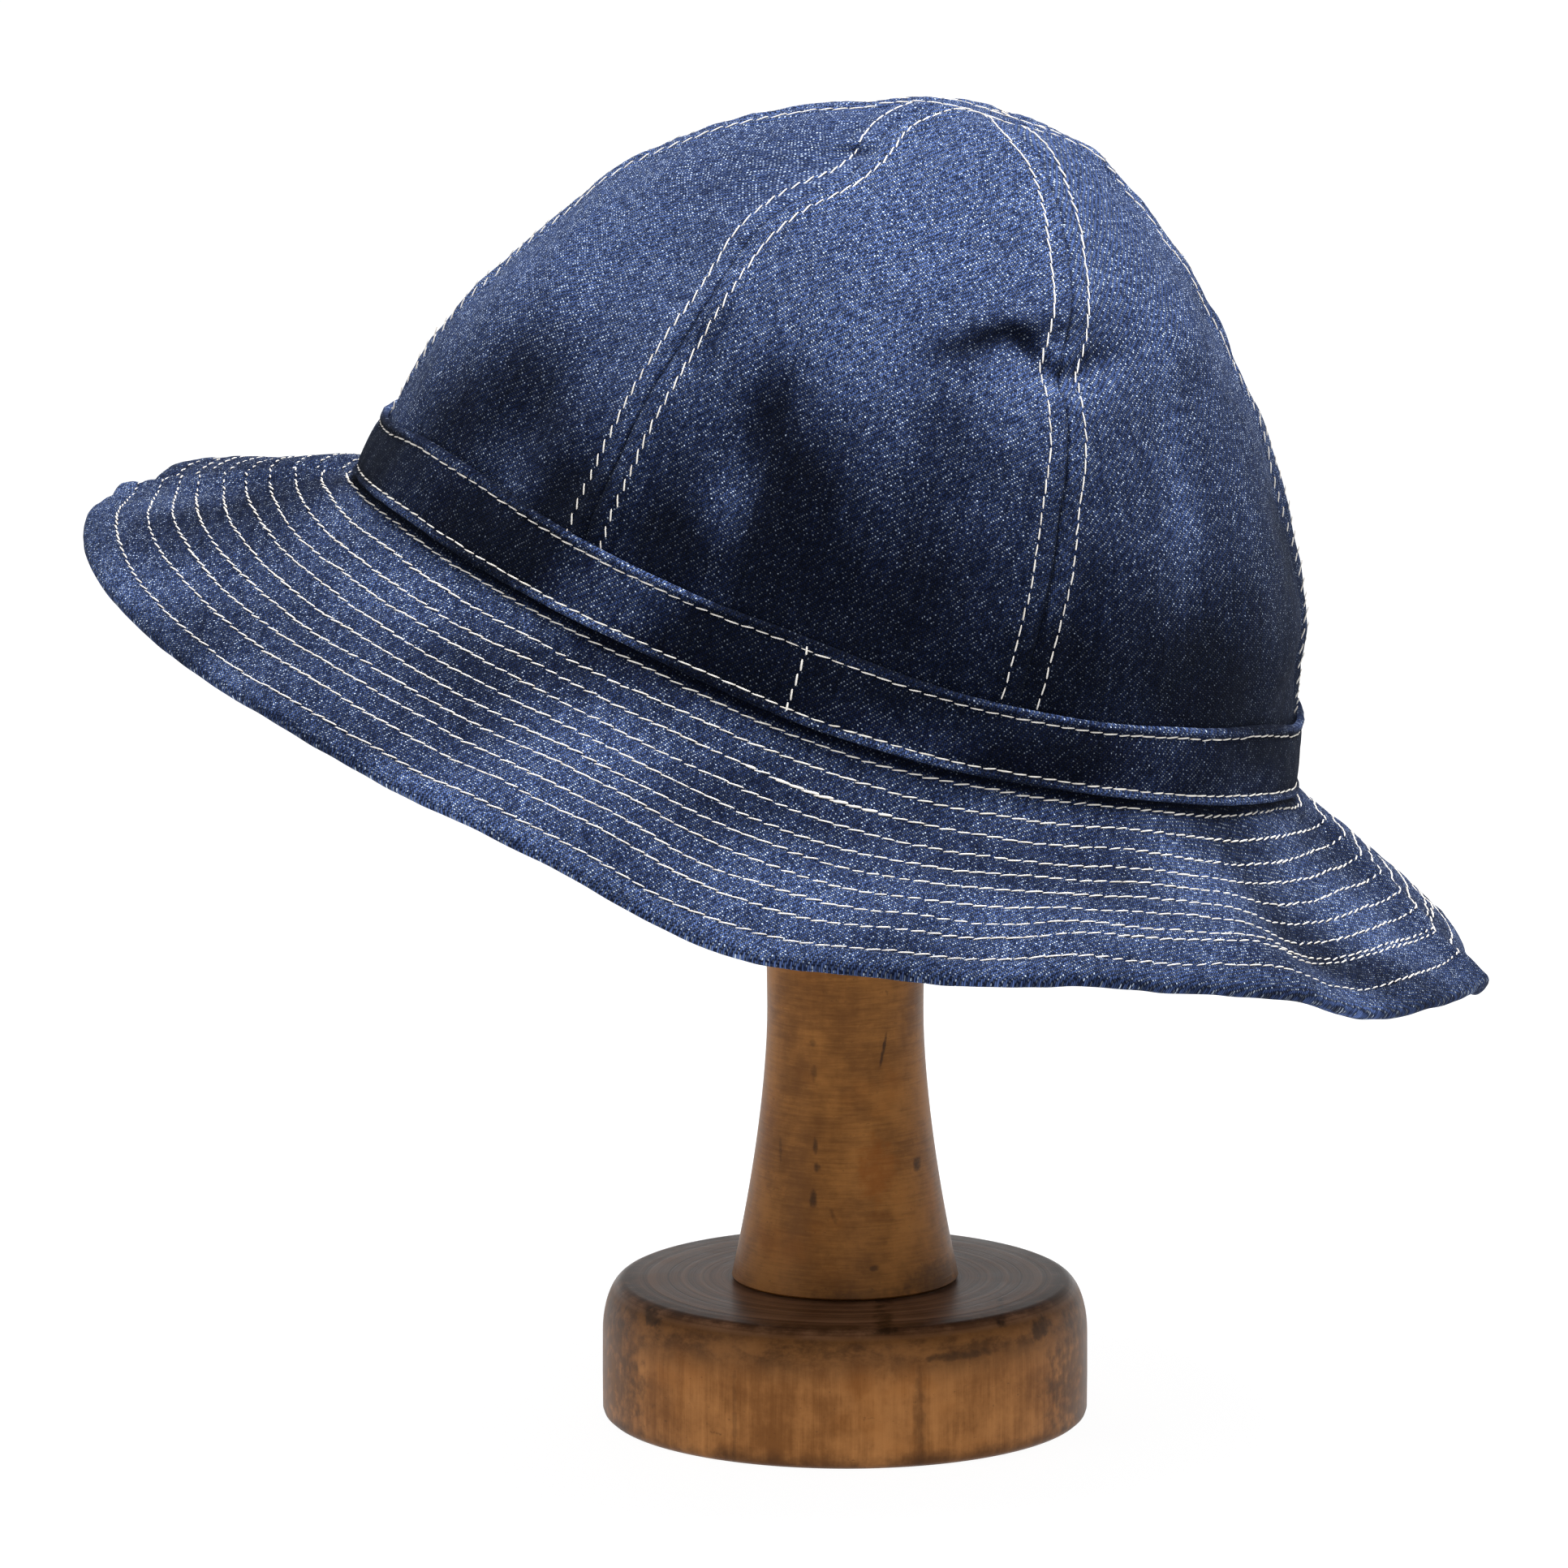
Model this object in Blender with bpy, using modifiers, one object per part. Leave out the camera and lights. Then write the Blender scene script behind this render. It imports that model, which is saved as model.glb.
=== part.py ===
"""Denim work hat with a six-panel crown and a stitched brim, tilted on a turned wooden stand.

Metres, +Z up. The origin is the middle of the stand's foot, on the surface it stands on.
The wearer's front is at -X, and the near side, which carries the hatband's join, is at -Y.
"""

import math

import bpy
import bmesh
from mathutils import Euler, Matrix, Vector

MM = 0.001

# Clearance between pieces that touch, and the cloth of crown, band and brim
GAP = 0.3 * MM
CLOTH = 1.2 * MM

# Head opening, measured inside the crown at its lower edge
HEAD_LENGTH = 200.0 * MM
HEAD_WIDTH = 172.0 * MM
BACK_FULLNESS = 0.10

# Crown
CROWN_HEIGHT = 113.5 * MM
CROWN_TIP_RADIUS = 1.5 * MM
PANEL_COLUMNS = 8
PANEL_ROWS = 14

# Hatband
BAND_WIDTH = 15.6 * MM
BAND_THICKNESS = 1.5 * MM

# Brim, measured from the crown's lower edge
BRIM_WIDTH = 57.4 * MM
WELT_WIDTH = 5.6 * MM
WELT_RISE = 0.5 * MM
BRIM_COLUMNS = 72
BRIM_STEPS = 24

# How the hat sits on the stand
HAT_ROLL = math.radians(18.15)
HAT_PITCH = math.radians(3.6)
HAT_YAW = math.radians(-3.4)
HAT_SHIFT = -4.2 * MM

# Turned stand
BASE_RADIUS = 50.8 * MM
BASE_HEIGHT = 28.9 * MM
BASE_FOOT_CHAMFER = 1.1 * MM
BASE_SHOULDER_DEPTH = 11.4 * MM
BASE_SHOULDER_WIDTH = 4.8 * MM
NECK_LENGTH = 191.0 * MM
NECK_FOOT_RADIUS = 23.8 * MM
NECK_WAIST_RADIUS = 16.3 * MM
NECK_TOP_RADIUS = 24.0 * MM
NECK_WAIST_SHARE = 0.295
NECK_FLARE_POWER = 1.65
DOME_RADIUS = 56.0 * MM
DOME_RISE = 42.0 * MM
DOME_RIM_HEIGHT = 10.0 * MM
TURNED_STEPS = 36
MERGE_DISTANCE = 0.001 * MM

# The crown from its lower edge to its tip:
# height share, then the half length to the front, half length to the back and half width as shares
CROWN_PROFILE = (
    (0.000, 1.000, 1.000, 1.000),
    (0.145, 0.977, 0.962, 0.975),
    (0.305, 0.937, 0.913, 0.945),
    (0.445, 0.874, 0.840, 0.900),
    (0.590, 0.777, 0.727, 0.825),
    (0.740, 0.636, 0.585, 0.705),
    (0.860, 0.447, 0.440, 0.515),
    (0.940, 0.255, 0.300, 0.330),
    (0.990, 0.100, 0.170, 0.150),
    (0.988, 0.000, 0.000, 0.000),
)

# Azimuth of each seam, in degrees from the back of the hat, at these shares of the crown's height
SEAM_HEIGHTS = (0.0, 0.30, 0.60, 0.80, 0.92, 1.0)
SEAMS = (
    (0.0, 0.0, 0.0, 0.0, 0.0, 0.0),
    (65.0, 64.5, 64.0, 62.0, 60.0, 58.0),
    (121.0, 121.0, 121.5, 122.0, 124.0, 126.0),
    (180.0, 180.0, 180.0, 180.0, 180.0, 180.0),
    (238.8, 237.3, 235.5, 234.5, 223.0, 214.0),
    (294.0, 294.6, 296.5, 298.4, 299.5, 299.0),
)

# Dents (positive) and swellings (negative) of the crown: azimuth in degrees, height share,
# half angle in degrees, half height share, rise of height share per degree, depth as a share of HEAD_LENGTH
CROWN_DENTS = (
    (294.0, 0.715, 15.0, 0.050, 0.0018, 0.0200),
    (229.0, 0.885, 14.0, 0.055, 0.0000, 0.0130),
    (232.0, 0.760, 9.0, 0.060, 0.0000, -0.0060),
    (352.0, 0.770, 12.0, 0.060, 0.0000, 0.0060),
    (222.0, 0.250, 6.0, 0.160, 0.0000, 0.0070),
    (252.0, 0.390, 6.0, 0.200, 0.0000, 0.0080),
    (281.0, 0.480, 6.0, 0.200, 0.0000, 0.0060),
    (318.0, 0.300, 7.0, 0.200, 0.0000, 0.0050),
    (52.0, 0.640, 16.0, 0.080, 0.0000, 0.0120),
    (98.0, 0.360, 7.0, 0.200, 0.0000, 0.0070),
    (140.0, 0.300, 7.0, 0.180, 0.0000, 0.0070),
)

# The brim every 15 degrees from the back: slope below the band's plane at the crown, half way out
# and at the edge, in degrees, and the lift of the crown's lower edge as a share of BRIM_WIDTH
BRIM_TABLE = (
    (24.0, 24.0, 46.0, -0.012),
    (36.0, 22.0, 44.0, -0.010),
    (48.0, 26.0, 38.0, 0.000),
    (52.0, 32.0, 36.0, 0.000),
    (50.0, 30.0, 40.0, 0.000),
    (54.0, 30.0, 42.0, 0.000),
    (55.0, 32.0, 40.0, 0.000),
    (50.0, 30.0, 40.0, 0.000),
    (46.0, 30.0, 38.0, 0.000),
    (36.0, 27.0, 34.0, 0.000),
    (24.0, 22.0, 26.0, -0.010),
    (20.0, 27.0, 30.0, 0.000),
    (22.0, 28.0, 32.0, 0.008),
    (37.0, 30.0, 39.0, 0.034),
    (54.0, 32.0, 44.0, 0.050),
    (57.0, 30.0, 46.0, 0.037),
    (58.0, 30.0, 46.0, 0.024),
    (57.0, 30.0, 49.0, 0.007),
    (62.0, 36.0, 42.0, -0.017),
    (66.0, 25.0, 34.0, -0.014),
    (56.0, 14.0, 31.0, 0.015),
    (44.0, 12.0, 29.0, 0.036),
    (53.0, 20.0, 14.0, 0.037),
    (46.0, 17.0, 16.0, 0.027),
)

# Share of the crown's height above which its lower edge's lift has faded away
LIFT_FADE_SHARE = 0.30

# The hatband's section: height share, and share of the thickness beyond the crown
BAND_SECTION = (
    (0.00, 0.00),
    (0.00, 1.00),
    (0.15, 1.00),
    (0.20, 0.72),
    (0.80, 0.72),
    (0.85, 1.00),
    (1.00, 1.00),
    (1.00, 0.00),
)

# Rings of the brim from the crown to the edge, as shares of the brim inside the welt
BRIM_RINGS = (0.0, 0.14, 0.30, 0.48, 0.66, 0.84, 1.0)

INDIGO = (0.035, 0.060, 0.155)
INDIGO_BAND = (0.020, 0.036, 0.105)
WOOD = (0.230, 0.115, 0.045)
WOOD_DARK = (0.120, 0.062, 0.030)


def clear_scene():
    for item in list(bpy.data.objects):
        bpy.data.objects.remove(item, do_unlink=True)


def make_collection(name):
    collection = bpy.data.collections.new(name)
    bpy.context.scene.collection.children.link(collection)
    return collection


def make_material(name, colour, roughness):
    material = bpy.data.materials.new(name)
    material.use_nodes = True
    shader = material.node_tree.nodes["Principled BSDF"]
    shader.inputs["Base Color"].default_value = (*colour, 1.0)
    shader.inputs["Roughness"].default_value = roughness
    shader.inputs["Metallic"].default_value = 0.0
    return material


def blend_rows(before, start, end, after, share):
    """Catmull-Rom blend of four table rows, between start and end."""
    values = []
    for p0, p1, p2, p3 in zip(before, start, end, after):
        linear = (p2 - p0) * share
        square = (2 * p0 - 5 * p1 + 4 * p2 - p3) * share ** 2
        cube = (3 * p1 - p0 - 3 * p2 + p3) * share ** 3
        values.append(0.5 * (2 * p1 + linear + square + cube))
    return values


def along_profile(position):
    """Crown profile at a fractional row position."""
    last = len(CROWN_PROFILE) - 1
    index = min(int(position), last - 1)
    start = CROWN_PROFILE[index]
    end = CROWN_PROFILE[index + 1]
    before = CROWN_PROFILE[index - 1] if index else [2 * a - b for a, b in zip(start, end)]
    after = CROWN_PROFILE[index + 2] if index + 2 <= last else [2 * b - a for a, b in zip(start, end)]
    return blend_rows(before, start, end, after, position - index)


def around_brim(azimuth):
    """Brim table at an azimuth in radians, closed round the hat."""
    count = len(BRIM_TABLE)
    position = (azimuth / math.tau * count) % count
    index = int(position) % count
    rows = [BRIM_TABLE[(index + step) % count] for step in (-1, 0, 1, 2)]
    return blend_rows(*rows, position - int(position))


def profile_position(height_share):
    """Row position of the crown profile at a height share in its lower half."""
    low, high = 0.0, 4.0
    for _ in range(30):
        middle = 0.5 * (low + high)
        if along_profile(middle)[0] < height_share:
            low = middle
        else:
            high = middle
    return low


def plan_point(azimuth, front, back, side):
    """Point of an egg-shaped plan whose half lengths and half width are shares of the opening's."""
    half_length = HEAD_LENGTH / 2 + CLOTH
    half_width = HEAD_WIDTH / 2 + CLOTH
    cosine = math.cos(azimuth)
    along = front if cosine < 0 else back
    fullness = 1 + BACK_FULLNESS * cosine
    return Vector((half_length * along * cosine, half_width * side * fullness * math.sin(azimuth), 0.0))


def plan_normal(azimuth, front=1.0, back=1.0, side=1.0):
    """Level outward direction of the plan."""
    step = 1e-3
    ahead = plan_point(azimuth + step, front, back, side)
    behind = plan_point(azimuth - step, front, back, side)
    tangent = ahead - behind
    return Vector((tangent.y, -tangent.x, 0.0)).normalized()


def dent_depth(azimuth, height_share):
    """How far the crown's dents press the cloth inwards at a place."""
    degrees = math.degrees(azimuth) % 360
    depth = 0.0
    for centre, height, half_angle, half_height, slant, share in CROWN_DENTS:
        across = (degrees - centre + 180) % 360 - 180
        up = height_share - height - slant * across
        depth += share * math.exp(-((across / half_angle) ** 2) - (up / half_height) ** 2)
    return depth * HEAD_LENGTH


def edge_lift(azimuth):
    """Lift of the crown's lower edge."""
    return around_brim(azimuth)[3] * BRIM_WIDTH


def crown_point(azimuth, position):
    """Outer face of the crown at an azimuth and a profile position."""
    height_share, front, back, side = along_profile(position)
    point = plan_point(azimuth, max(front, 0.0), max(back, 0.0), max(side, 0.0))
    reach = point.length
    if reach > 0:
        point -= point.normalized() * min(dent_depth(azimuth, height_share), 0.5 * reach)
    fade = max(0.0, 1 - height_share / LIFT_FADE_SHARE)
    point.z = height_share * CROWN_HEIGHT + edge_lift(azimuth) * fade
    return point


def seam_azimuth(index, height_share):
    """Azimuth of a seam in radians, eased between the heights of its table."""
    turns, row = divmod(index, len(SEAMS))
    azimuths = SEAMS[row]
    level = 0
    while level < len(SEAM_HEIGHTS) - 2 and height_share > SEAM_HEIGHTS[level + 1]:
        level += 1
    low, high = SEAM_HEIGHTS[level], SEAM_HEIGHTS[level + 1]
    share = min(max((height_share - low) / (high - low), 0.0), 1.0)
    eased = share * share * (3 - 2 * share)
    return math.radians(azimuths[level] + (azimuths[level + 1] - azimuths[level]) * eased + 360 * turns)


def brim_point(azimuth, distance):
    """Upper face of the brim, at a distance out from the crown along its slope."""
    at_crown, half_way, at_edge, _ = around_brim(azimuth)
    out, down = 0.0, 0.0
    steps = BRIM_STEPS
    for index in range(steps):
        share = (index + 0.5) / steps * distance / BRIM_WIDTH
        slope = at_crown * 2 * (share - 0.5) * (share - 1)
        slope += half_way * 4 * share * (1 - share)
        slope += at_edge * 2 * share * (share - 0.5)
        out += math.cos(math.radians(slope)) * distance / steps
        down += math.sin(math.radians(slope)) * distance / steps
    point = plan_point(azimuth, 1.0, 1.0, 1.0) + plan_normal(azimuth) * out
    point.z = edge_lift(azimuth) - GAP - down
    return point


def brim_normal(azimuth, distance):
    """Upward normal of the brim."""
    step = 0.5 * MM
    turn = 1e-2
    near = max(distance - step, 0.0)
    outward = brim_point(azimuth, near + 2 * step) - brim_point(azimuth, near)
    along = brim_point(azimuth + turn, distance) - brim_point(azimuth - turn, distance)
    return outward.cross(along).normalized()


def grid_mesh(name, columns, rows, place, closed=False, weigh=None):
    """Grid of columns by rows whose vertices are moved by place(column share, row share).

    Its faces look along the columns' direction crossed with the rows'. weigh(row share) is kept
    as the first vertex group.
    """
    mesh = bpy.data.meshes.new(name)
    shape = bmesh.new()
    bmesh.ops.create_grid(shape, x_segments=columns, y_segments=rows, size=0.5)
    weights = shape.verts.layers.deform.verify() if weigh else None
    for vertex in shape.verts:
        column, row = vertex.co.x + 0.5, vertex.co.y + 0.5
        vertex.co = place(column, row)
        if weigh:
            vertex[weights][0] = weigh(row)
    if closed:
        bmesh.ops.remove_doubles(shape, verts=shape.verts, dist=MERGE_DISTANCE)
    shape.to_mesh(mesh)
    shape.free()
    return mesh


def add_object(collection, name, mesh, material, parent=None):
    item = bpy.data.objects.new(name, mesh)
    mesh.materials.append(material)
    mesh.shade_smooth()
    mesh.set_sharp_from_angle(angle=math.radians(40))
    collection.objects.link(item)
    item.parent = parent
    return item


def add_wall(item, thickness, ahead):
    """Thicken an open surface ahead of its faces, or behind them."""
    wall = item.modifiers.new("wall", "SOLIDIFY")
    wall.thickness = thickness
    wall.offset = 1.0 if ahead else -1.0
    wall.use_even_offset = True
    return wall


def make_crown_panel(collection, index, material, parent):
    """One gore of the crown, between two seams, from the lower edge to the tip."""
    last = len(CROWN_PROFILE) - 1

    def place(column, row):
        position = row * last
        if row > 0.999:
            position = tip_position()
        height_share = along_profile(position)[0]
        start = seam_azimuth(index, height_share)
        end = seam_azimuth(index + 1, height_share)
        radius = crown_point(0.5 * (start + end), position).to_2d().length
        inset = 0.5 * GAP / radius
        return crown_point(start + inset + (end - start - 2 * inset) * column, position)

    mesh = grid_mesh("crown_panel", PANEL_COLUMNS, PANEL_ROWS, place)
    item = add_object(collection, f"crown_panel_{index + 1}", mesh, material, parent)
    add_wall(item, CLOTH, ahead=False)
    return item


def tip_position():
    """Profile position where the panels end, at CROWN_TIP_RADIUS from the tip."""
    low, high = len(CROWN_PROFILE) - 2.0, len(CROWN_PROFILE) - 1.0
    for _ in range(30):
        middle = 0.5 * (low + high)
        if crown_point(0.0, middle).to_2d().length > CROWN_TIP_RADIUS:
            low = middle
        else:
            high = middle
    return low


def make_hatband(collection, material, parent):
    """Closed strip round the foot of the crown, with a folded lip along both edges."""
    section = len(BAND_SECTION)

    def place(column, row):
        azimuth = math.tau * column
        height, proud = BAND_SECTION[round(row * section) % section]
        height_share = height * BAND_WIDTH / CROWN_HEIGHT
        point = crown_point(azimuth, profile_position(height_share))
        point.z = height * BAND_WIDTH + edge_lift(azimuth)
        return point + plan_normal(azimuth) * (GAP + proud * BAND_THICKNESS)

    mesh = grid_mesh("hatband", BRIM_COLUMNS, section, place, closed=True)
    return add_object(collection, "hatband", mesh, material, parent)


def brim_ring_distances():
    """Distances of the brim's rings from the crown, with the welt's two at the end."""
    inside = BRIM_WIDTH - WELT_WIDTH
    return [share * inside for share in BRIM_RINGS] + [BRIM_WIDTH - 0.6 * WELT_WIDTH, BRIM_WIDTH]


def make_brim_layer(collection, name, depth, upward, material, parent):
    """One cloth of the brim: a sheet at a depth below the brim's face that thickens up or down."""
    distances = brim_ring_distances()
    last = len(distances) - 1
    full = CLOTH + WELT_RISE

    def place(column, row):
        azimuth = math.tau * column
        distance = distances[round(row * last)]
        return brim_point(azimuth, distance) - brim_normal(azimuth, distance) * depth

    def weigh(row):
        return 1.0 if round(row * last) == last - 1 else CLOTH / full

    mesh = grid_mesh(name, BRIM_COLUMNS, last, place, closed=True, weigh=weigh)
    item = add_object(collection, name, mesh, material, parent)
    group = item.vertex_groups.new(name="welt")
    wall = add_wall(item, full, ahead=not upward)
    wall.vertex_group = group.name
    return item


def turned_object(collection, name, profile, material):
    """Solid turned about Z from a profile that runs down its outer side."""
    mesh = bpy.data.meshes.new(name)
    shape = bmesh.new()
    corners = [shape.verts.new((radius, 0.0, height)) for radius, height in profile]
    for upper, lower in zip(corners, corners[1:]):
        shape.edges.new((upper, lower))
    shape.to_mesh(mesh)
    shape.free()
    item = add_object(collection, name, mesh, material)
    screw = item.modifiers.new("turning", "SCREW")
    screw.axis = "Z"
    screw.steps = TURNED_STEPS
    screw.render_steps = TURNED_STEPS
    screw.use_merge_vertices = True
    screw.merge_threshold = MERGE_DISTANCE
    screw.use_smooth_shade = True
    return item


def quarter_arc(centre_radius, centre_height, width, height, segments):
    """Points of an elliptical quarter from its top to its outer side."""
    points = []
    for index in range(segments + 1):
        angle = math.pi / 2 * (1 - index / segments)
        points.append((centre_radius + width * math.cos(angle), centre_height + height * math.sin(angle)))
    return points


def make_stand_base(collection, material):
    """Round foot with a soft shoulder and a small chamfer underneath."""
    profile = [(0.0, BASE_HEIGHT)]
    profile += quarter_arc(
        BASE_RADIUS - BASE_SHOULDER_WIDTH, BASE_HEIGHT - BASE_SHOULDER_DEPTH,
        BASE_SHOULDER_WIDTH, BASE_SHOULDER_DEPTH, 6,
    )
    profile += [
        (BASE_RADIUS, BASE_FOOT_CHAMFER),
        (BASE_RADIUS - BASE_FOOT_CHAMFER, 0.0),
        (0.0, 0.0),
    ]
    return turned_object(collection, "stand_base", profile, material)


def neck_radius(share):
    """Radius of the neck at a share of its length, flared to both ends from its waist."""
    if share < NECK_WAIST_SHARE:
        reach = (NECK_WAIST_SHARE - share) / NECK_WAIST_SHARE
        end = NECK_FOOT_RADIUS
    else:
        reach = (share - NECK_WAIST_SHARE) / (1 - NECK_WAIST_SHARE)
        end = NECK_TOP_RADIUS
    return NECK_WAIST_RADIUS + (end - NECK_WAIST_RADIUS) * reach ** NECK_FLARE_POWER


def make_stand_neck(collection, material):
    """Waisted column between the foot and the dome."""
    foot = BASE_HEIGHT + GAP
    segments = 12
    profile = [(0.0, foot + NECK_LENGTH)]
    for index in range(segments + 1):
        share = 1 - index / segments
        profile.append((neck_radius(share), foot + share * NECK_LENGTH))
    profile.append((0.0, foot))
    return turned_object(collection, "stand_neck", profile, material)


def dome_foot():
    return BASE_HEIGHT + GAP + NECK_LENGTH + GAP


def dome_height(radius):
    """Height of the dome's upper face above its foot at a distance from the axis."""
    share = min(radius / DOME_RADIUS, 1.0)
    return DOME_RIM_HEIGHT + DOME_RISE * math.sqrt(1 - share ** 2)


def make_stand_dome(collection, material):
    """Plain rounded top that carries the crown from inside."""
    foot = dome_foot()
    profile = quarter_arc(0.0, foot + DOME_RIM_HEIGHT, DOME_RADIUS, DOME_RISE, 9)
    profile += [
        (DOME_RADIUS, foot + 0.4 * DOME_RIM_HEIGHT),
        (DOME_RADIUS - 0.4 * DOME_RIM_HEIGHT, foot),
        (0.0, foot),
    ]
    return turned_object(collection, "stand_dome", profile, material)


def seat_hat(hat_frame, panels):
    """Lower the hat until the inside of its crown lies on the dome, a clearance above it."""
    turn = Matrix.Rotation(HAT_PITCH, 3, "X") @ Matrix.Rotation(HAT_ROLL, 3, "Y") @ Matrix.Rotation(HAT_YAW, 3, "Z")
    bpy.context.view_layer.update()
    graph = bpy.context.evaluated_depsgraph_get()
    lowest = None
    for panel in panels:
        mesh = panel.evaluated_get(graph).to_mesh()
        for face in mesh.polygons:
            corners = [mesh.vertices[index].co for index in face.vertices]
            samples = corners + [0.5 * (a + b) for a, b in zip(corners, corners[1:])] + [face.center.copy()]
            for sample in samples:
                point = turn @ sample + Vector((HAT_SHIFT, 0.0, 0.0))
                radius = math.hypot(point.x, point.y)
                if radius < DOME_RADIUS + GAP:
                    drop = point.z - dome_height(radius)
                    lowest = drop if lowest is None else min(lowest, drop)
        panel.evaluated_get(graph).to_mesh_clear()
    hat_frame.rotation_euler = turn.to_euler()
    hat_frame.location = (HAT_SHIFT, 0.0, dome_foot() + 1.3 * GAP - lowest)
    bpy.context.view_layer.update()


def build():
    clear_scene()
    collection = make_collection("work_hat_on_stand")
    denim = make_material("denim", INDIGO, 0.9)
    band_denim = make_material("band_denim", INDIGO_BAND, 0.9)
    wood = make_material("turned_wood", WOOD, 0.45)
    dark_wood = make_material("stained_wood", WOOD_DARK, 0.5)

    make_stand_base(collection, wood)
    make_stand_neck(collection, wood)
    make_stand_dome(collection, dark_wood)

    hat_frame = bpy.data.objects.new("hat_frame", None)
    collection.objects.link(hat_frame)
    panels = [make_crown_panel(collection, index, denim, hat_frame) for index in range(len(SEAMS))]
    make_hatband(collection, band_denim, hat_frame)
    make_brim_layer(collection, "brim_top", CLOTH, True, denim, hat_frame)
    make_brim_layer(collection, "brim_under", CLOTH + GAP, False, denim, hat_frame)
    seat_hat(hat_frame, panels)


build()
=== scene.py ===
"""Looks of a denim work hat on a turned wooden stand: sewn cloth, stitches, wood, floor, lights, camera."""

import logging
import math
from dataclasses import dataclass
from enum import Enum
from typing import Any, Dict, List, Optional, Sequence, Tuple

import bmesh
import bpy
import numpy as np
from mathutils import Matrix, Vector
from mathutils.bvhtree import BVHTree
from mathutils.kdtree import KDTree

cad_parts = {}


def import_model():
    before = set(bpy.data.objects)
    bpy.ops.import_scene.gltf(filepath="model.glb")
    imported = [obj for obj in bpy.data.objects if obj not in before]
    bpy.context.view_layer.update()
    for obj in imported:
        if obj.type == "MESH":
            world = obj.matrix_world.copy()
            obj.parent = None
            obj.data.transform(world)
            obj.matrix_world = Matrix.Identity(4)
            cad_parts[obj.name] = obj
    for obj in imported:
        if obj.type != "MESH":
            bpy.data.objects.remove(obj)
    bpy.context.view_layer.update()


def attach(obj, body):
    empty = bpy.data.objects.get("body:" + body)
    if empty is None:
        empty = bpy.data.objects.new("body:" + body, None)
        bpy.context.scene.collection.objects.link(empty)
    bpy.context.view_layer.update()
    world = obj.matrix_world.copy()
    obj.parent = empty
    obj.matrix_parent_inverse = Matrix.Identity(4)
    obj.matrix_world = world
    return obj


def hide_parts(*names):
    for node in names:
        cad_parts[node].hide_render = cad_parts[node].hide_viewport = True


LOG = logging.getLogger("work_hat")
MM = 0.001

Array = np.ndarray
Colour = Tuple[float, float, float]


class Side(Enum):
    """Which face of the brim something lies on."""

    TOP = "top"
    UNDER = "under"


@dataclass(frozen=True)
class Track:
    """Smooth curve through given places and values, open or closed over a period."""

    places: Tuple[float, ...]
    values: Tuple[float, ...]
    period: Optional[float] = None

    def read(self, at: Array) -> Array:
        """Read the curve.

        Args:
            at: Where to read it, in the unit of places.

        Returns:
            The curve's value at each of them.
        """
        place = np.asarray(self.places, float)
        value = np.asarray(self.values, float)
        at = np.asarray(at, float)
        if self.period:
            at = np.mod(at - place[0], self.period) + place[0]
            place = np.concatenate([place[-2:] - self.period, place, place[:2] + self.period])
            value = np.concatenate([value[-2:], value, value[:2]])
        slope = np.gradient(value, place)
        index = np.clip(np.searchsorted(place, at, side="right") - 1, 0, len(place) - 2)
        width = place[index + 1] - place[index]
        t = np.clip((at - place[index]) / width, 0.0, 1.0)
        start, end = value[index], value[index + 1]
        rise = (2 * t ** 3 - 3 * t ** 2 + 1) * start + (3 * t ** 2 - 2 * t ** 3) * end
        pull = (t ** 3 - 2 * t ** 2 + t) * slope[index] + (t ** 3 - t ** 2) * slope[index + 1]
        return rise + pull * width


def smooth_step(low: float, high: float, value: Array) -> Array:
    """Ease from 0 at low to 1 at high."""
    share = np.clip((value - low) / (high - low), 0.0, 1.0)
    return share * share * (3 - 2 * share)


def bell(value: Array, centre: float, width: float) -> Array:
    """Bell curve of height 1 about a centre."""
    return np.exp(-(((value - centre) / width) ** 2))


def unit(vectors: Array) -> Array:
    """Make vectors 1 long.

    Args:
        vectors: Vectors along the last axis.

    Returns:
        The same directions at length 1; a vector of no length points up.
    """
    tiny = 1e-12
    length = np.linalg.norm(vectors, axis=-1, keepdims=True)
    up = np.zeros_like(vectors)
    up[..., 2] = 1.0
    return np.where(length > tiny, vectors / np.maximum(length, tiny), up)


@dataclass(frozen=True)
class Ripple:
    """Gentle waves of cloth that cross each other, the same on every run."""

    wavelength: float
    height: float
    seed: int
    count: int = 9

    def read(self, points: Array) -> Array:
        """Read the waves.

        Args:
            points: Points in the hat's frame.

        Returns:
            The height of the cloth at each, in metres.
        """
        draw = np.random.RandomState(self.seed)
        total = np.zeros(points.shape[:-1])
        for _ in range(self.count):
            direction = draw.normal(size=3)
            direction /= np.linalg.norm(direction)
            length = self.wavelength * draw.uniform(0.7, 1.5)
            phase = draw.uniform(0, math.tau)
            total += np.sin(points @ direction * math.tau / length + phase)
        return total * self.height / math.sqrt(self.count)


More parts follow.
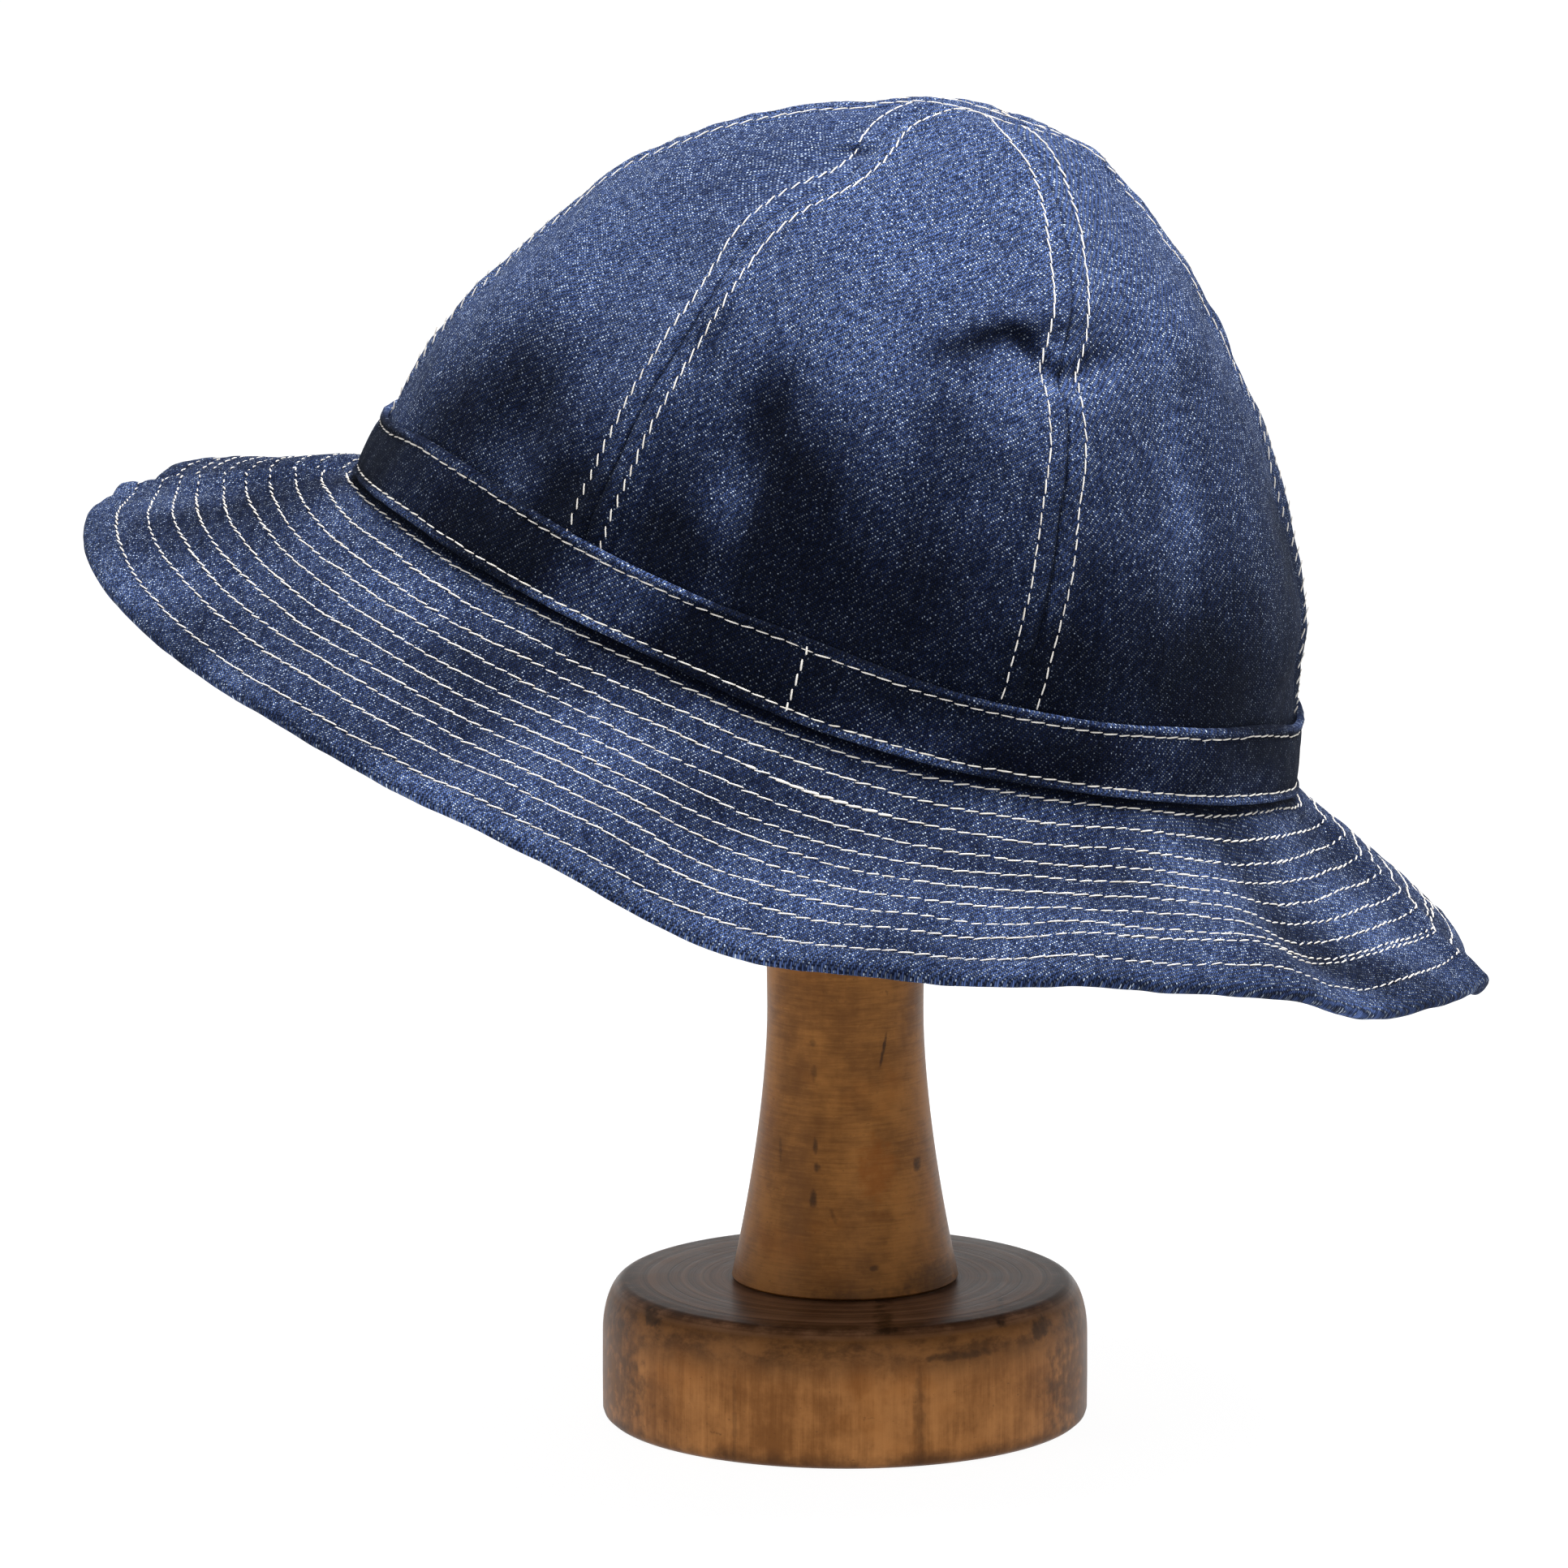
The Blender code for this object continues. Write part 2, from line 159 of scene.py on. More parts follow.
@dataclass(frozen=True)
class HatForm:
    """The hat's form in its own frame: origin at the middle of the crown's lower edge, back at +X."""

    half_length: float = 101.2 * MM
    half_width: float = 87.2 * MM
    back_fullness: float = 0.10
    crown_height: float = 113.5 * MM
    brim_width: float = 57.4 * MM
    clearance: float = 0.3 * MM
    wall: float = 1.2 * MM
    lift_fade: float = 0.30
    roll: float = math.radians(18.15)
    pitch: float = math.radians(3.6)
    yaw: float = math.radians(-3.4)
    seat: Tuple[float, float, float] = (-4.2 * MM, 0.0, 166.14 * MM)

    # Crown from its lower edge to its tip: height share, half length to the front and to the back, half width
    profile: Tuple[Tuple[float, float, float, float], ...] = (
        (0.000, 1.000, 1.000, 1.000),
        (0.145, 0.977, 0.962, 0.975),
        (0.305, 0.937, 0.913, 0.945),
        (0.445, 0.874, 0.840, 0.900),
        (0.590, 0.777, 0.727, 0.825),
        (0.740, 0.636, 0.585, 0.705),
        (0.860, 0.447, 0.440, 0.515),
        (0.940, 0.255, 0.300, 0.330),
        (0.990, 0.100, 0.170, 0.150),
        (0.988, 0.000, 0.000, 0.000),
    )

    # Dents and swellings: azimuth, height share, half angle, half height, slant, depth share of the length
    dents: Tuple[Tuple[float, ...], ...] = (
        (294.0, 0.715, 15.0, 0.050, 0.0018, 0.0200),
        (229.0, 0.885, 14.0, 0.055, 0.0000, 0.0130),
        (232.0, 0.760, 9.0, 0.060, 0.0000, -0.0060),
        (352.0, 0.770, 12.0, 0.060, 0.0000, 0.0060),
        (222.0, 0.250, 6.0, 0.160, 0.0000, 0.0070),
        (252.0, 0.390, 6.0, 0.200, 0.0000, 0.0080),
        (281.0, 0.480, 6.0, 0.200, 0.0000, 0.0060),
        (318.0, 0.300, 7.0, 0.200, 0.0000, 0.0050),
        (52.0, 0.640, 16.0, 0.080, 0.0000, 0.0120),
        (98.0, 0.360, 7.0, 0.200, 0.0000, 0.0070),
        (140.0, 0.300, 7.0, 0.180, 0.0000, 0.0070),
        (205.0, 0.930, 25.0, 0.050, 0.0000, -0.0050),
    )

    # Brim every 15 degrees from the back: slope at the crown, half way out and at the edge, lift of its root
    brim: Tuple[Tuple[float, float, float, float], ...] = (
        (24.0, 24.0, 46.0, -0.012),
        (36.0, 22.0, 44.0, -0.010),
        (48.0, 26.0, 38.0, 0.000),
        (52.0, 32.0, 36.0, 0.000),
        (50.0, 30.0, 40.0, 0.000),
        (54.0, 30.0, 42.0, 0.000),
        (55.0, 32.0, 40.0, 0.000),
        (50.0, 30.0, 40.0, 0.000),
        (46.0, 30.0, 38.0, 0.000),
        (36.0, 27.0, 34.0, 0.000),
        (24.0, 22.0, 26.0, -0.010),
        (20.0, 27.0, 30.0, 0.000),
        (22.0, 28.0, 32.0, 0.008),
        (37.0, 30.0, 39.0, 0.034),
        (54.0, 32.0, 44.0, 0.050),
        (57.0, 30.0, 46.0, 0.037),
        (58.0, 30.0, 46.0, 0.024),
        (57.0, 30.0, 49.0, 0.007),
        (62.0, 36.0, 42.0, -0.017),
        (66.0, 25.0, 34.0, -0.014),
        (56.0, 14.0, 31.0, 0.015),
        (44.0, 12.0, 29.0, 0.036),
        (53.0, 20.0, 14.0, 0.037),
        (46.0, 17.0, 16.0, 0.027),
    )

    def to_world(self, points: Array) -> Array:
        """Take points from the hat's frame to the stand's frame.

        Args:
            points: Points in the hat's frame.

        Returns:
            The same points in the stand's frame.
        """
        turn = (
            Matrix.Rotation(self.pitch, 3, "X")
            @ Matrix.Rotation(self.roll, 3, "Y")
            @ Matrix.Rotation(self.yaw, 3, "Z")
        )
        return points @ np.array(turn).T + np.array(self.seat)

    def turned(self, directions: Array) -> Array:
        """Directions of the hat's frame in the stand's frame."""
        return self.to_world(directions) - np.array(self.seat)

    def profile_at(self, position: Array) -> List[Array]:
        """The profile's four columns at fractional row positions."""
        places = tuple(float(row) for row in range(len(self.profile)))
        return [Track(places, column).read(position) for column in zip(*self.profile)]

    def brim_at(self, azimuth: Array) -> List[Array]:
        """Read the brim's table.

        Args:
            azimuth: Azimuths in radians.

        Returns:
            Its four columns there.
        """
        step = 360.0 / len(self.brim)
        places = tuple(row * step for row in range(len(self.brim)))
        degrees = np.degrees(azimuth)
        return [Track(places, column, 360.0).read(degrees) for column in zip(*self.brim)]

    def plan(self, azimuth: Array, front: Array, back: Array, side: Array) -> Array:
        """Points of the egg-shaped plan, level with the origin.

        Args:
            azimuth: Azimuths in radians.
            front: Share of the half length at the front.
            back: Share of the half length at the back.
            side: Share of the half width.

        Returns:
            The points in the hat's frame.
        """
        cosine, sine = np.cos(azimuth), np.sin(azimuth)
        along = np.where(cosine < 0, front, back)
        x = self.half_length * along * cosine
        y = self.half_width * side * (1 + self.back_fullness * cosine) * sine
        return np.stack([x, y, np.zeros_like(x)], -1)

    def outward(self, azimuth: Array) -> Array:
        """Level directions that lead away from the crown.

        Args:
            azimuth: Azimuths in radians.

        Returns:
            The directions.
        """
        step = 1e-3
        tangent = self.plan(azimuth + step, 1.0, 1.0, 1.0) - self.plan(azimuth - step, 1.0, 1.0, 1.0)
        return unit(np.stack([tangent[..., 1], -tangent[..., 0], 0 * tangent[..., 0]], -1))

    def edge_lift(self, azimuth: Array) -> Array:
        """Lift of the crown's lower edge."""
        return self.brim_at(azimuth)[3] * self.brim_width

    def dent_depth(self, azimuth: Array, height: Array) -> Array:
        """Depth of the crown's soft dents.

        Args:
            azimuth: Azimuths in radians.
            height: Height shares.

        Returns:
            The depth at each place, in metres.
        """
        degrees = np.degrees(azimuth) % 360
        depth = np.zeros_like(degrees)
        for centre, level, half_angle, half_height, slant, share in self.dents:
            across = (degrees - centre + 180) % 360 - 180
            up = height - level - slant * across
            depth += share * np.exp(-((across / half_angle) ** 2) - (up / half_height) ** 2)
        return depth * 2 * (self.half_length - self.wall)

    def crown(self, azimuth: Array, position: Array) -> Array:
        """Outer face of the crown.

        Args:
            azimuth: Azimuths in radians.
            position: Positions along the profile's rows.

        Returns:
            Points in the hat's frame.
        """
        azimuth, position = np.broadcast_arrays(np.asarray(azimuth, float), np.asarray(position, float))
        height, front, back, side = self.profile_at(position)
        point = self.plan(azimuth, np.maximum(front, 0), np.maximum(back, 0), np.maximum(side, 0))
        reach = np.linalg.norm(point, axis=-1)
        depth = np.minimum(self.dent_depth(azimuth, height), 0.5 * reach)
        point -= unit(point) * np.where(reach > 1e-9, depth, 0.0)[..., None]
        fade = np.maximum(0.0, 1 - height / self.lift_fade)
        point[..., 2] = height * self.crown_height + self.edge_lift(azimuth) * fade
        return point

    def brim_face(self, azimuth: Array, distance: Array) -> Array:
        """Upper face of the brim.

        Args:
            azimuth: Azimuths in radians.
            distance: Distances out from the crown, along the cloth.

        Returns:
            Points in the hat's frame.
        """
        azimuth, distance = np.broadcast_arrays(np.asarray(azimuth, float), np.asarray(distance, float))
        at_crown, half_way, at_edge, lift = self.brim_at(azimuth)
        steps = 24
        out, down = np.zeros_like(distance), np.zeros_like(distance)
        for index in range(steps):
            share = (index + 0.5) / steps * distance / self.brim_width
            slope = at_crown * 2 * (share - 0.5) * (share - 1)
            slope += half_way * 4 * share * (1 - share) + at_edge * 2 * share * (share - 0.5)
            out += np.cos(np.radians(slope)) * distance / steps
            down += np.sin(np.radians(slope)) * distance / steps
        point = self.plan(azimuth, 1.0, 1.0, 1.0) + self.outward(azimuth) * out[..., None]
        point[..., 2] = lift * self.brim_width - self.clearance - down
        return point

    def brim_up(self, azimuth: Array, distance: Array) -> Array:
        """Directions that stand on the brim's upper face.

        Args:
            azimuth: Azimuths in radians.
            distance: Distances out from the crown.

        Returns:
            The directions.
        """
        step, turn = 0.5 * MM, 4e-3
        outward = self.brim_face(azimuth, distance + step) - self.brim_face(azimuth, distance - step)
        along = self.brim_face(azimuth + turn, distance) - self.brim_face(azimuth - turn, distance)
        return unit(np.cross(outward, along))


FORM = HatForm()


@dataclass(frozen=True)
class Grain:
    """A kind of soft noise: how many blotches to a metre, and how much finer detail it has."""

    scale: float
    detail: float = 2.0
    roughness: float = 0.5


class Wire:
    """A shader value that ordinary arithmetic can be done on."""

    def __init__(self, nodes: "NodeMaker", socket: bpy.types.NodeSocket) -> None:
        """Wrap an output socket of a tree of nodes."""
        self.nodes = nodes
        self.socket = socket

    def calc(self, operation: str, *values: Any) -> "Wire":
        """Math node of an operation on values, in the order given."""
        node = self.nodes.node("ShaderNodeMath", {"operation": operation}, dict(enumerate(values)))
        return Wire(self.nodes, node.outputs[0])

    def __add__(self, other: Any) -> "Wire":
        """Sum."""
        return self.calc("ADD", self, other)

    def __radd__(self, other: Any) -> "Wire":
        """Sum with a number first."""
        return self.calc("ADD", other, self)

    def __sub__(self, other: Any) -> "Wire":
        """Difference."""
        return self.calc("SUBTRACT", self, other)

    def __rsub__(self, other: Any) -> "Wire":
        """Difference from a number."""
        return self.calc("SUBTRACT", other, self)

    def __mul__(self, other: Any) -> "Wire":
        """Product."""
        return self.calc("MULTIPLY", self, other)

    def __rmul__(self, other: Any) -> "Wire":
        """Product with a number first."""
        return self.calc("MULTIPLY", other, self)

    def __truediv__(self, other: Any) -> "Wire":
        """Quotient."""
        return self.calc("DIVIDE", self, other)

    def __rtruediv__(self, other: Any) -> "Wire":
        """Quotient of a number."""
        return self.calc("DIVIDE", other, self)

    def __pow__(self, other: Any) -> "Wire":
        """Power."""
        return self.calc("POWER", self, other)

    def floor(self) -> "Wire":
        """Whole part."""
        return self.calc("FLOOR", self)

    def fract(self) -> "Wire":
        """Part after the point."""
        return self.calc("FRACT", self)

    def arch(self) -> "Wire":
        """Arch that is 0 where a share is 0 or 1 and 1 half way."""
        return 4 * self * (1 - self)

    def ramp(self, low: float, high: float) -> "Wire":
        """Ease from 0 at low to 1 at high, clamped."""
        return self.nodes.map_range(self, (low, high), (0.0, 1.0), "SMOOTHSTEP")


class NodeMaker:
    """Makes and joins the nodes of a material or of the world."""

    def __init__(self, tree: bpy.types.NodeTree) -> None:
        """Keep the tree that the nodes go into."""
        self.tree = tree

    def node(self, kind: str, settings: Dict[str, Any], inputs: Dict[Any, Any]) -> bpy.types.Node:
        """Add a node.

        Args:
            kind: The node's type.
            settings: Its properties, set first.
            inputs: Values or wires by socket name or number; None leaves a socket alone.

        Returns:
            The node.
        """
        node = self.tree.nodes.new(kind)
        for key, value in settings.items():
            setattr(node, key, value)
        for key, value in inputs.items():
            if isinstance(value, Wire):
                self.tree.links.new(value.socket, node.inputs[key])
            elif value is not None:
                node.inputs[key].default_value = value
        return node

    def wire(self, node: bpy.types.Node, output: Any = 0) -> Wire:
        """An output of a node."""
        return Wire(self, node.outputs[output])

    def object_place(self) -> Wire:
        """Place on the piece in the object's own frame, in metres."""
        return self.wire(self.node("ShaderNodeTexCoord", {}, {}), "Object")

    def cloth_place(self) -> Wire:
        """Place on the flat cloth, in metres."""
        return self.wire(self.node("ShaderNodeUVMap", {"uv_map": "cloth"}, {}))

    def attribute(self, name: str) -> Wire:
        """A number that is stored on the mesh."""
        return self.wire(self.node("ShaderNodeAttribute", {"attribute_name": name}, {}), "Fac")

    def scale(self, vector: Wire, by: Tuple[float, float, float]) -> Wire:
        """A vector with each part scaled."""
        return self.wire(self.node("ShaderNodeVectorMath", {"operation": "MULTIPLY"}, {0: vector, 1: by}))

    def join(self, x: Any, y: Any, z: Any = 0.0) -> Wire:
        """A vector of three values."""
        return self.wire(self.node("ShaderNodeCombineXYZ", {}, {0: x, 1: y, 2: z}))

    def split(self, vector: Wire) -> Tuple[Wire, Wire, Wire]:
        """The three parts of a vector."""
        node = self.node("ShaderNodeSeparateXYZ", {}, {0: vector})
        return self.wire(node, 0), self.wire(node, 1), self.wire(node, 2)

    def noise(self, vector: Wire, grain: Grain) -> Wire:
        """Soft noise of a kind, from 0 to 1."""
        inputs = {"Scale": grain.scale, "Detail": grain.detail, "Roughness": grain.roughness}
        return self.wire(self.node("ShaderNodeTexNoise", {}, {"Vector": vector, **inputs}))

    def speckle(self, vector: Wire) -> Wire:
        """A random number for each different place."""
        settings = {"noise_dimensions": "3D"}
        return self.wire(self.node("ShaderNodeTexWhiteNoise", settings, {"Vector": vector}))

    def mix(self, share: Any, first: Any, second: Any, blend: str = "MIX") -> Wire:
        """Blend two colours.

        Args:
            share: Share of the second colour.
            first: The first colour, as a tuple or a wire.
            second: The second colour.
            blend: Kind of blend.

        Returns:
            The blended colour.
        """
        first = (*first, 1.0) if isinstance(first, tuple) else first
        second = (*second, 1.0) if isinstance(second, tuple) else second
        settings = {"data_type": "RGBA", "blend_type": blend}
        return self.wire(self.node("ShaderNodeMix", settings, {0: share, 6: first, 7: second}), 2)

    def tint(self, value: Any) -> Wire:
        """A number as a grey, for scaling a colour."""
        return self.wire(self.node("ShaderNodeCombineColor", {}, {0: value, 1: value, 2: value}))

    def map_range(
        self, value: Any, given: Tuple[float, float], wanted: Tuple[float, float], easing: str = "LINEAR",
    ) -> Wire:
        """Map a value from one range to another, clamped.

        Args:
            value: The value.
            given: Ends of the range that it comes in.
            wanted: What each end becomes.
            easing: Kind of interpolation.

        Returns:
            The mapped value.
        """
        inputs = {0: value, 1: given[0], 2: given[1], 3: wanted[0], 4: wanted[1]}
        return self.wire(self.node("ShaderNodeMapRange", {"interpolation_type": easing}, inputs))

    def bump(self, height: Wire, strength: float, distance: float) -> Wire:
        """Normals of a height."""
        inputs = {"Height": height, "Strength": strength, "Distance": distance}
        return self.wire(self.node("ShaderNodeBump", {}, inputs))


class Shader(NodeMaker):
    """A material under construction, with its Principled shader and its output."""

    def __init__(self, name: str) -> None:
        """Start a material with nothing but its shader and output.

        Args:
            name: The material's name.
        """
        self.material = bpy.data.materials.new(name)
        self.material.use_nodes = True
        super().__init__(self.material.node_tree)
        self.tree.nodes.clear()
        self.surface = self.node("ShaderNodeBsdfPrincipled", {}, {})
        output = self.node("ShaderNodeOutputMaterial", {}, {})
        self.tree.links.new(self.surface.outputs[0], output.inputs[0])

    def finish(self, **sockets: Any) -> bpy.types.Material:
        """Set the Principled shader's sockets.

        Args:
            sockets: Values or wires by socket name, with _ for a space.

        Returns:
            The finished material.
        """
        for key, value in sockets.items():
            socket = self.surface.inputs[key.replace("_", " ")]
            if isinstance(value, Wire):
                self.tree.links.new(value.socket, socket)
            else:
                socket.default_value = value
        return self.material


@dataclass(frozen=True)
class DenimFinish:
    """Indigo twill: short pale-blue warp floats with a painted highlight along each, painted shade in the
    gaps between them, and white flecks where the weft shows.
    """

    name: str
    # gap is the painted shade between the yarns.
    gap: Colour = (0.0035, 0.0068, 0.0250)
    deep: Colour = (0.016, 0.031, 0.105)
    faded: Colour = (0.130, 0.208, 0.490)
    weft: Colour = (0.66, 0.78, 0.97)
    yarn: float = 0.385 * MM
    pick: float = 0.43 * MM
    fleck: float = 1.0
    darkest: float = 0.15
    seed: float = 0.0
    yarn_sway: Grain = Grain(230.0, 4.0, 0.65)
    pick_sway: Grain = Grain(300.0, 4.0, 0.65)
    fluff: Grain = Grain(1300.0, 2.0, 0.7)
    patch: Grain = Grain(330.0, 2.0, 0.6)
    cloud: Grain = Grain(45.0, 3.0, 0.6)
    streak: Grain = Grain(900.0)

    def material(self) -> bpy.types.Material:
        """Build the material.

        Returns:
            The material.
        """
        s = Shader(self.name)
        place = s.cloth_place()
        x, y, _ = s.split(place)
        across = x / self.yarn + (s.noise(place, self.yarn_sway) - 0.5) * 3.2 + self.seed
        up = y / self.pick + (s.noise(place, self.pick_sway) - 0.5) * 3.0
        column = across.floor()
        repeat = (up - column) / 3.0
        float_number, float_share = repeat.floor(), repeat.fract()
        ridge = across.fract().arch()
        warp_shine = ((float_share - 1 / 3) * 1.5).arch().ramp(0.0, 0.9) * ridge
        weft_dot = (float_share * 3).arch().ramp(0.1, 1.0) * ridge
        luck = s.speckle(s.join(column, float_number, self.seed))
        luck_of_dot = s.speckle(s.join(column, float_number, self.seed + 9.0))
        fluff = s.noise(place, self.fluff)
        patch = s.noise(place, self.patch)
        cloud = s.noise(place, self.cloud)
        streak = s.noise(s.scale(place, (1.0, 0.04, 1.0)), self.streak)
        # The fade attribute carries painted light and shade as well as dye fade; shade below darkens the
        # colour by it.
        fade = s.attribute("fade") + (cloud - 0.5) * 0.5 + (streak - 0.5) * 0.35
        wear = s.attribute("wear")
        tone = fade * 0.75 + wear * 0.3 + (patch - 0.5) * 0.6
        warp = s.mix(tone.ramp(0.0, 1.25), self.deep, self.faded)
        # Painted highlight along each warp float, fading to the painted shade of the gap between yarns.
        shine = warp_shine * (0.35 + 0.80 * luck) + (fluff - 0.5) * 0.8 + 0.08
        ground = s.mix(shine.ramp(0.0, 1.0), self.gap, warp)
        shade = self.darkest + (1 - self.darkest) * fade.ramp(-0.1, 0.9)
        ground = s.mix(1.0, ground, s.tint(shade), "MULTIPLY")
        bright = 0.12 + luck_of_dot ** 1.5 * 0.72 + luck_of_dot ** 7.0 * 0.35
        fleck = weft_dot * bright * (0.30 + 1.30 * patch) * self.fleck * (0.10 + 0.95 * shade)
        colour = s.mix(fleck.ramp(0.0, 1.0), ground, self.weft)
        normal = s.bump(warp_shine + 0.8 * weft_dot + 0.6 * fluff, 0.6, 0.14 * MM)
        return s.finish(
            Base_Color=colour, Roughness=0.95, Normal=normal, Specular_IOR_Level=0.05,
            Sheen_Weight=0.03, Sheen_Roughness=0.5, Sheen_Tint=(0.50, 0.64, 0.95, 1.0),
        )


@dataclass(frozen=True)
class ThreadFinish:
    """Cream cotton thread, with painted shade darkening it to tan where it dips into the cloth."""

    name: str
    light: Colour = (0.93, 0.89, 0.82)
    dark: Colour = (0.42, 0.33, 0.25)
    fibre: Grain = Grain(2600.0, 3.0, 0.7)

    def material(self) -> bpy.types.Material:
        """Build the material.

        Returns:
            The material.
        """
        s = Shader(self.name)
        tone = s.attribute("tone")
        fibre = s.noise(s.object_place(), self.fibre)
        # tone holds each stitch's own tone of cream and the painted shade at its ends.
        colour = s.mix((tone + (fibre - 0.5) * 0.5).ramp(0.0, 0.8), self.dark, self.light)
        normal = s.bump(fibre, 0.5, 0.05 * MM)
        return s.finish(Base_Color=colour, Roughness=0.8, Normal=normal, Sheen_Weight=0.15)


@dataclass(frozen=True)
class Mark:
    """A mark on the side of the wood that faces -Y, for a stain, a dent or painted shade at an edge: place,
    half sizes and lean, in mm.
    """

    x: float
    z: float
    half_width: float
    half_height: float
    strength: float = 0.75
    lean: float = 0.0
    colour: Colour = (0.022, 0.010, 0.004)

    def share(self, x: Wire, y: Wire, z: Wire, ragged: Wire) -> Wire:
        """How much of the mark shows, with a ragged outline.

        Args:
            x: Place to the right.
            y: Place away from the front, where the mark fades out.
            z: Height.
            ragged: Noise that breaks up the outline.

        Returns:
            The share, from 0 to 1.
        """
        above = z - self.z * MM
        across = (x - self.x * MM - above * self.lean) / (self.half_width * MM)
        up = above / (self.half_height * MM)
        near = 1.0 - across * across - up * up + (ragged - 0.5) * 2.6
        shown = near.ramp(0.0, 1.1)
        facing = 1 - y.ramp(-9 * MM, 4 * MM)
        return shown * facing * self.strength


@dataclass(frozen=True)
class WoodFinish:
    """Worn turned hardwood: upright grain, level lathe scratches, dark stains, painted shade at the foot's
    edges and lowest rim, and a satin polish.
    """

    name: str
    pale: Colour = (0.290, 0.118, 0.026)
    brown: Colour = (0.135, 0.050, 0.009)
    orange: Colour = (0.250, 0.078, 0.008)
    # The soil colour darkens dirt in scratches and stains, and is also the painted shade low on the foot.
    soil_and_shade: Colour = (0.040, 0.016, 0.005)
    worn: Colour = (0.180, 0.074, 0.021)
    ring_dark: Colour = (0.070, 0.027, 0.011)
    ring_pale: Colour = (0.300, 0.150, 0.078)
    grain: float = 0.5
    scratches: float = 0.5
    top_height: float = 0.0
    roughness: float = 0.42
    marks: Tuple[Mark, ...] = ()
    mottle: Grain = Grain(80.0, 5.0, 0.65)
    cloud: Grain = Grain(45.0, 3.0, 0.6)
    upright: Grain = Grain(480.0, 5.0, 0.75)
    level: Grain = Grain(1500.0, 4.0, 0.75)
    fine: Grain = Grain(900.0, 3.0, 0.6)
    ragged: Grain = Grain(420.0, 3.0, 0.6)
    flush: Grain = Grain(48.0, 3.0, 0.6)
    rings: Grain = Grain(480.0, 5.0, 0.75)
    blotch: Grain = Grain(150.0, 4.0, 0.7)

    def material(self) -> bpy.types.Material:
        """Build the material.

        Returns:
            The material.
        """
        s = Shader(self.name)
        place = s.object_place()
        x, y, z = s.split(place)
        mottle = s.noise(place, self.mottle)
        cloud = s.noise(s.scale(place, (1.0, 1.0, 0.30)), self.cloud)
        upright = s.noise(s.scale(place, (1.0, 1.0, 0.045)), self.upright)
        level = s.noise(s.scale(place, (0.07, 0.07, 1.0)), self.level)
        fine = s.noise(place, self.fine)
        ragged = s.noise(place, self.ragged)
        tone = 0.5 + (cloud - 0.5) * 1.3 + (mottle - 0.5) * 2.1
        tone = tone + (upright - 0.5) * self.grain + (level - 0.5) * self.scratches
        colour = s.mix(tone.ramp(0.0, 1.0), self.brown, self.pale)
        colour = s.mix(s.noise(place, self.flush).ramp(0.52, 0.72) * 0.40, colour, self.orange)
        colour = s.mix((fine * level).ramp(0.34, 0.46) * 0.45, colour, self.soil_and_shade)
        relief = upright * 0.25 + level * self.scratches + fine * 0.2
        rough = self.roughness + (mottle - 0.5) * 0.25
        coat = 0.04
        if self.top_height:
            colour, relief, on_top = self.soiled_and_shaded_top(s, colour, relief, mottle)
            rough = rough - 0.08 * on_top
            coat = 0.02 + 0.10 * on_top
        for mark in self.marks:
            colour = s.mix(mark.share(x, y, z, ragged), colour, mark.colour)
        normal = s.bump(relief, 0.35, 0.25 * MM)
        return s.finish(
            Base_Color=colour, Roughness=rough, Normal=normal, Specular_IOR_Level=0.10,
            Coat_Weight=coat, Coat_Roughness=0.3,
        )

    def soiled_and_shaded_top(self, s: Shader, colour: Wire, relief: Wire, mottle: Wire) -> Tuple[Wire, Wire, Wire]:
        """Darken the shoulder with stains, ring the top, and paint shade along the foot's lowest edge.

        Args:
            s: The material under construction.
            colour: The clean wood's colour.
            relief: The clean wood's height.
            mottle: Blotches that break up the edges.

        Returns:
            The colour, the height, and where the top is.
        """
        x, y, z = s.split(s.object_place())
        radius = (x * x + y * y) ** 0.5
        rings = s.noise(s.join(radius, 0.0, z * 0.15), self.rings)
        blotch = s.noise(s.scale(s.object_place(), (1.0, 1.0, 1.8)), self.blotch)
        low = z + (mottle - 0.5) * 9 * MM + (blotch - 0.5) * 5 * MM
        shoulder = low.ramp(self.top_height - 13 * MM, self.top_height - 5 * MM)
        on_top = z.ramp(self.top_height - 2.6 * MM, self.top_height - 0.6 * MM)
        worn = s.mix(blotch.ramp(0.32, 0.66), self.soil_and_shade, self.worn)
        colour = s.mix(shoulder * 0.82, colour, worn)
        ringed = s.mix((rings * 0.8 + mottle * 0.3).ramp(0.40, 0.70), self.ring_dark, self.ring_pale)
        colour = s.mix(on_top, colour, ringed)
        rim = radius.ramp(41 * MM, 45.5 * MM) * (1 - radius.ramp(47.5 * MM, 50.0 * MM))
        rim = rim * z.ramp(20 * MM, 24 * MM)
        colour = s.mix(rim * blotch.ramp(0.30, 0.60) * 0.75, colour, self.soil_and_shade)
        # Painted shade darkens the foot's lowest 4 mm, where it stands on the floor.
        painted_contact_shade = 1 - (z + (mottle - 0.5) * 6 * MM).ramp(0.0, 4.0 * MM)
        colour = s.mix(painted_contact_shade * 0.75, colour, self.soil_and_shade)
        return colour, relief + on_top * rings * 2.4, on_top


